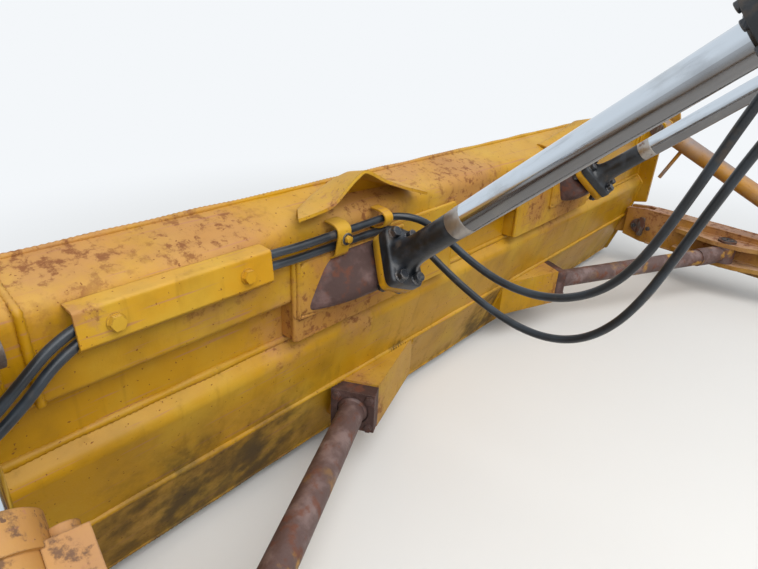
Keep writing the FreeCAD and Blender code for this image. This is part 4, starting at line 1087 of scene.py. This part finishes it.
@dataclass
class CylinderDress:
    """Glands, seals and pipes on one lift cylinder, in millimetres along its axis."""

    side: Side
    gland: float = 960.0
    port: float = 1490.0
    tail: float = 2200.0
    screw_circle: float = 64.0
    pipe: float = 9.5
    bands: tuple[float, ...] = (1300.0, 1700.0)

    def build(self) -> None:
        """Make the gland's screws and wiper, and the pipes along the barrel."""
        word = self.side.word
        body = "lift_barrel_" + word
        centre = self.side.ball
        up = np.cross(WAY, ACROSS)
        skin = Skin()
        for k in range(8):
            a = math.tau * (k + 0.5) / 8.0
            spot = centre + (ACROSS * math.cos(a) + up * math.sin(a)) * self.screw_circle
            skin.grid(turned(spot + WAY * (self.gland + 3.8), -WAY,
                             ((0, 10.5), (13, 10.5), (14.2, 9.3), (14.2, 5.2), (7, 5.2)), 20))
        skin.piece("gland_screws_" + word, body, Look.BOLT.material, "dark_steel", 35.0)
        lip = turned(centre + WAY * self.gland, WAY, (
            (3, 40.6), (-8, 40.6), (-11, 42.5), (-9, 47), (-3, 51), (3, 51)), 48)
        Skin().grid(lip, ring=True).piece("rod_wiper_" + word, body, Look.FORGING.material,
                                          "black_paint", 50.0)
        skin = Skin()
        # One pipe runs forward from the port and the other to the rear.
        for way, end in ((-1.0, self.gland + 62.0), (1.0, self.tail - 60.0)):
            x = centre + ACROSS * 17.0 * way
            route = [x + WAY * t + up * high for t, high in (
                (self.port, 78.0), (self.port, 96.0), (self.port - 20.0 + 24.0 * way, 99.0),
                (end - 26.0 * way, 99.0), (end, 92.0), (end, 66.0))]
            path = ease(along(route, 6.0), 10)
            skin.grid(sweep(path, self.pipe, self.pipe, 2.0, (1.0, 0.12, 0.1), 14))
            skin.grid(turned(x + WAY * end + up * 60.0, up,
                             ((0, 22), (24, 22), (27, 19), (29, 14)), 24))
        for t in self.bands:
            spot = centre + WAY * t
            skin.grid(turned(spot, WAY, ((-14, 70), (-14, 73.5), (14, 73.5), (14, 70)), 40),
                      ring=True)
            block = spot + WAY * np.array((-14.0, -12.0, 12.0, 14.0))[:, None] + up * 92.0
            skin.grid(sweep(block, (30, 32, 32, 30), (19, 21, 21, 19), 5.0, ACROSS, 24))
        skin.piece("barrel_pipes_" + word, body, Look.BARRELS.material, "yellow_paint", 40.0)


@dataclass
class Fasteners:
    """Plough bolts, pin keepers and grease nipples on the blade and its arms."""

    pitch: float = 162.0
    end_bit: tuple[float, ...] = (1690.0, 1790.0, 1890.0)

    def build(self) -> None:
        """Make the fasteners of the cutting edge and of the arms."""
        self.plough_bolts()
        self.keepers()

    def plough_bolts(self) -> None:
        """Set a row of countersunk heads along the front of the cutting edge."""
        low = np.array((0.0, -69.8, 0.0))
        high = np.array((0.0, 18.5, 223.2))
        slope = unit(high - low)
        out = np.array((0.0, -slope[2], slope[1]))
        spots = [(k * self.pitch, 0.62, 0.0) for k in range(-9, 10)]
        spots += [(side.value * x, share, 8.6) for side in Side
                  for x in self.end_bit for share in (0.46, 0.76)]
        skin = Skin()
        for x, share, proud in spots:
            spot = low + (high - low) * share + out * (proud - 6.0) + ACROSS * x
            skin.grid(turned(spot, out, ((0, 19), (6.5, 19), (8.6, 17.5), (9.6, 12), (10, 4)),
                             24))
        skin.piece("plough_bolts", "blade_frame", Look.EDGE.material, "worn_steel", 40.0)

    def keepers(self) -> None:
        """Put keeper plates and bolts on the pins, and nipples on the joints."""
        plates = Skin()
        heads = Skin()
        for side in Side:
            out = -side.value * ACROSS
            spot = np.array((side.value * 1862.0, 235.0, 285.0))
            bar = spot + out * np.array((0.0, 1.0, 7.0, 8.0))[:, None] + REAR * 22.0
            plates.grid(sweep(bar, (18, 19, 19, 18), (60, 61, 61, 60), 6.0, UP, 24))
            for y in (-24.0, 68.0):
                heads.grid(hexed(spot + out * 8.0 + REAR * y, out, 24.0, 13.0, y))
            heads.grid(turned((side.value * 1815.0, 755.0, 348.6), UP, (
                (0, 34), (3, 34), (4, 32.5), (4, 20), (1, 19), (1, 8), (8, 7), (9, 5))))
            for x in (1730.0, 1786.0):
                heads.grid(turned((side.value * x, 255.0, 960.0), UP, (
                    (0, 6), (5, 6), (5, 3.4), (9, 3.4), (11, 4.4), (14, 2.4)), 16))
        plates.piece("pin_keepers", "blade_frame", Look.PIN.material, "dark_steel", 35.0)
        heads.piece("keeper_bolts", "blade_frame", Look.BOLT.material, "dark_steel", 35.0)


@dataclass
class Straps:
    """The two straps that hold the hoses to the blade's rear face, in millimetres."""

    thick: float = 3.0
    wide_bolt: tuple[float, float] = (838.0, 882.0)
    narrow_bolt: tuple[float, float] = (668.0, 862.0)

    def build(self) -> None:
        """Bend both straps round their hoses and bolt them down.

        A strap is a flat rounded section carried along a smoothed line in the side view.
        """
        skin = Skin()
        heads = Skin()
        for x, half, corners in (
                (845.0, 25.0, ((177, 822), (200, 823), (219, 834), (224, 858), (228, 877),
                               (231, 897), (229, 912), (214, 922), (177, 925))),
                (668.0, 17.0, ((177, 868), (208, 870), (230, 880), (237, 898), (234, 912),
                               (214, 922), (177, 925)))):
            path = ease(along([(x, y, z) for y, z in corners], 4.0), 4)
            skin.grid(sweep(path, self.thick, half, 7.0, ACROSS, 24))
        x, z = self.wide_bolt
        for y, profile, sides, metal in (
                (176.5, ((0, 9), (52, 9)), 20, skin),
                (229.0, ((0, 20), (3.5, 20), (4.2, 19)), 28, skin),
                (233.0, ((0, 17.5), (2.5, 17.5), (3, 16.8)), 28, heads)):
            metal.grid(turned((x, y, z), REAR, profile, sides))
        skin.grid(hexed((x, 235.5, z), REAR, 20.0, 11.0))
        x, z = self.narrow_bolt
        heads.grid(turned((x, 176.5, z), REAR, ((0, 12), (3, 12), (3.5, 11)), 24))
        heads.grid(hexed((x, 180.0, z), REAR, 17.0, 8.0))
        skin.piece("hose_straps", "blade_frame", Look.GUARDS.material, "dark_steel", 40.0,
                   "hose_clamps")
        heads.piece("strap_bolts", "blade_frame", Look.BOLT.material, "dark_steel", 35.0)


# Control points of the two hoses, from the tilt cylinder's ports along the blade and up
# to the machine's side, in blade millimetres.
UPPER = ((1897, 574.7, 765), (1897, 470, 765), (1893, 362, 750), (1862, 270, 732),
         (1798, 218, 719), (1722, 204, 738), (1652, 202, 794), (1576, 201, 858),
         (1470, 200, 888), (1310, 200.5, 893), (1150, 200.2, 892.5), (1075, 203.5, 893),
         (1000, 212, 893.5), (910, 215.8, 896.5), (815, 215, 897.2), (735, 214.8, 898),
         (705, 214.8, 898.4), (664, 215, 899.2), (625.4, 230.6, 899.4), (595.6, 260.4, 896.8),
         (580, 299, 889.6), (580, 342, 876.6), (581, 395, 854), (582, 475, 817), (582, 570, 788),
         (581, 670, 784), (580, 760, 806), (579, 842, 860), (578, 900, 940), (576, 944, 1050),
         (574, 986, 1180), (572, 1030, 1320), (570, 1078, 1450), (568, 1140, 1570),
         (566, 1226, 1678), (564, 1340, 1764), (562.5, 1480, 1826), (552, 1620, 1857.5),
         (552, 1777.95, 1857.5))
LOWER = ((1897, 574.7, 725), (1897, 470, 725), (1893, 360, 710), (1862, 270, 690),
         (1798, 214, 680), (1722, 202, 700), (1646, 202, 754), (1580, 202, 818),
         (1490, 202, 857), (1330, 201, 865), (1170, 201.5, 862.5), (1060, 203, 860),
         (985, 204, 858), (900, 204.2, 858.5), (815, 204, 858.2), (735, 204.4, 858.6),
         (696, 204.8, 858.6), (652, 205, 858.5), (613, 218, 849.8), (583, 243, 833),
         (566, 277, 810.4), (560, 314, 786), (554, 356, 758.6), (549, 400, 733),
         (546.5, 450, 709), (546, 520, 682), (545, 620, 656), (543, 720, 656), (541, 806, 690),
         (540, 876, 760), (539, 928, 860), (538, 968, 980), (538, 1006, 1100), (539, 1050, 1230),
         (540, 1104, 1360), (542, 1170, 1480), (544, 1256, 1590), (547, 1364, 1684),
         (551, 1496, 1756), (552, 1636, 1797.5), (552, 1777.95, 1797.5))


@dataclass
class Hoses:
    """The two tilt hoses with their crimped ends, in millimetres."""

    radius: float = 11.0

    def line(self, name: str, points: Any) -> np.ndarray:
        """Read the smooth line of one hose off a spline of its route.

        Args:
            name: Name for the passing curve.
            points: The spline's control points.

        Returns:
            The spline's points in metres.
        """
        curve = bpy.data.curves.new(name, "CURVE")
        curve.dimensions = "3D"
        spline = curve.splines.new("NURBS")
        route = row(points)
        spline.points.add(len(route) - 1)
        flat = np.concatenate((route, np.ones((len(route), 1))), axis=1).ravel()
        spline.points.foreach_set("co", flat)
        spline.order_u = 3
        spline.use_endpoint_u = True
        spline.resolution_u = 8
        holder = bpy.data.objects.new(name, curve)
        bpy.context.scene.collection.objects.link(holder)
        bpy.context.view_layer.update()
        mesh = bpy.data.meshes.new_from_object(holder)
        found = np.zeros(len(mesh.vertices) * 3)
        mesh.vertices.foreach_get("co", found)
        bpy.data.objects.remove(holder)
        bpy.data.meshes.remove(mesh)
        bpy.data.curves.remove(curve)
        return found.reshape(-1, 3)

    def build(self) -> None:
        for name, points in (("upper", UPPER), ("lower", LOWER)):
            path = self.line("route_" + name, points)
            line = path * 1000.0 + ORIGIN
            tube = sweep(line, self.radius, self.radius, 2.0, (0.7, -0.5, 0.5))
            hose = Skin().grid(tube).piece("tilt_hose_" + name, "", Look.RUBBER.material,
                                           "hose_rubber", 60.0, "hose_" + name)
            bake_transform(hose)
            front = self.crimp("hose_end_front_" + name, line[0], "blade_frame")
            rear = self.crimp("hose_end_rear_" + name, line[-1], "frame_mounts")

    def crimp(self, name: str, start: np.ndarray, body: str) -> bpy.types.Object:
        """Make a nut and a crimped collar where a hose leaves forwards from its end.

        The collar's radius is its mean plus a small square wave of four ridges.

        Args:
            name: Name of the piece.
            start: The hose's end point.
            body: The body that carries the end.

        Returns:
            The piece.
        """
        t = np.linspace(22.0, 66.0, 40)
        wave = 14.6 + 0.7 * np.sign(np.sin((t - 22.0) * math.tau / 11.0))
        profile = np.concatenate((((20.0, 12.0),), np.stack((t, wave), axis=1),
                                  ((67.0, 11.3),)))
        skin = Skin().grid(turned(start, -REAR, profile, 28))
        skin.grid(hexed(start + REAR * 0.5, -REAR, 30.0, 21.0))
        return skin.piece(name, body, Look.ZINC.material, "plated_fitting", 35.0)


# Stage, light and camera.


def eyes(tree: bpy.types.NodeTree) -> bpy.types.NodeSocket:
    """Tell the rays that carry a view, straight or by a mirror or glass, from the rest.

    Args:
        tree: The material's or world's node tree.

    Returns:
        One for such a ray and nought for any other.
    """
    rays = add(tree, "LightPath").node.outputs
    seen = add(tree, "Math", {0: rays["Is Camera Ray"], 1: rays["Is Glossy Ray"]},
               operation="MAXIMUM")
    return add(tree, "Math", {0: seen, 1: rays["Is Transmission Ray"]}, operation="MAXIMUM")


def floor() -> None:
    """Lay a pale round floor that turns white far from the object."""
    finish = bpy.data.materials.new("matt_pale_floor")
    finish.use_nodes = True
    tree = finish.node_tree
    tree.nodes.clear()
    seen = eyes(tree)
    # Pale to the eye and in mirrors, but it throws little light back up, as bare earth does.
    tone = add(tree, "Mix", {0: seen, 6: linear("#7A7268"), 7: linear("#E6E4E0")}, 2,
               data_type="RGBA")
    middle, grey_to, white_from = (-1.65, -1.1, -0.21), 2.0, 5.2
    far = add(tree, "VectorMath", {0: add(tree, "TexCoord", out="Object"), 1: middle},
              "Value", operation="DISTANCE")
    far = add(tree, "MapRange", {0: far, 1: grey_to, 2: white_from},
              interpolation_type="SMOOTHSTEP")
    far = add(tree, "Math", {0: far, 1: seen}, operation="MULTIPLY")
    both = add(tree, "MixShader", {0: far, 1: add(tree, "BsdfDiffuse", {0: tone}),
                                   2: add(tree, "Emission", {0: linear("#F4F7FA"), 1: 1.0})})
    add(tree, "OutputMaterial", {0: both})
    angle = np.linspace(0.0, math.tau, 64, endpoint=False)
    ring = np.stack((np.cos(angle), np.sin(angle), 0.0 * angle), axis=1)
    disc = ring[None, :, :] * np.array((0.0, 60000.0))[:, None, None]
    Skin().grid(disc, ends=False).piece("floor", "", finish, "")


def hang(data: bpy.types.ID, place: Any, turn: Matrix) -> bpy.types.Object:
    """Put a lamp or a camera into the scene.

    Args:
        data: The lamp's or the camera's data.
        place: Its place in metres.
        turn: Its rotation, three by three.

    Returns:
        The object, named as its data.
    """
    holder = bpy.data.objects.new(data.name, data)
    holder.matrix_world = Matrix.Translation(place) @ turn.to_4x4()
    bpy.context.scene.collection.objects.link(holder)
    return holder


def light() -> None:
    """Set a pale sky, which is brighter to the eye than it lights, and two soft lamps."""
    world = bpy.data.worlds.new("soft_studio")
    bpy.context.scene.world = world
    world.use_nodes = True
    tree = world.node_tree
    tree.nodes.clear()
    both = add(tree, "MixShader", {
        0: eyes(tree), 1: add(tree, "Background", {0: linear("#E9F0F7"), 1: 0.56}),
        2: add(tree, "Background", {0: linear("#F4F7FA"), 1: 1.0})})
    add(tree, "OutputWorld", {0: both})
    for name, place, size, power, aim in (
            ("sky_key", (-0.6, 1.5, 5.7), 7.0, 440.0, (-1.3, -1.9, 0.4)),
            ("side_fill", (3.4, 2.6, 3.2), 4.0, 110.0, (-1.2, -1.8, 0.4))):
        lamp = bpy.data.lights.new(name, "AREA")
        lamp.shape = "DISK"
        lamp.size = size
        lamp.energy = power
        way = Vector(aim) - Vector(place)
        hang(lamp, place, way.to_track_quat("-Z", "Y").to_matrix())


def camera() -> None:
    """Set the camera where the photograph was taken.

    The view direction comes from yaw and pitch, right is that cross up, and both right and
    down are then turned about the view direction by the roll.
    """
    yaw, pitch, roll = -0.8704, 0.4471, -0.0543
    focal_pixels, wide_pixels = 562.09, 758.0
    look = Vector((math.sin(yaw) * math.cos(pitch), -math.cos(yaw) * math.cos(pitch),
                   -math.sin(pitch)))
    right = look.cross(Vector((0.0, 0.0, 1.0))).normalized()
    down = look.cross(right)
    east = right * math.cos(roll) + down * math.sin(roll)
    south = down * math.cos(roll) - right * math.sin(roll)
    lens = bpy.data.cameras.new("photo_camera")
    lens.sensor_width = 36.0
    lens.lens = focal_pixels / wide_pixels * lens.sensor_width
    lens.clip_end = 200.0
    turn = Matrix((east, -south, -look)).transposed()
    bpy.context.scene.camera = hang(lens, (0.2144, -1.080, 1.2219), turn)


def main() -> None:
    """Load the frame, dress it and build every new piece."""
    logging.basicConfig(level=logging.INFO, format="%(message)s")
    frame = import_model()
    dress(frame["nodes"])
    Welds().build()
    for side in Side:
        for part in (BallMount(side), RodEnd(side), RodGuard(side), CylinderDress(side)):
            part.build()
    Fasteners().build()
    Straps().build()
    Hoses().build()
    floor()
    light()
    camera()
    bpy.context.scene.view_settings.view_transform = "Standard"


if __name__ == "__main__":
    main()
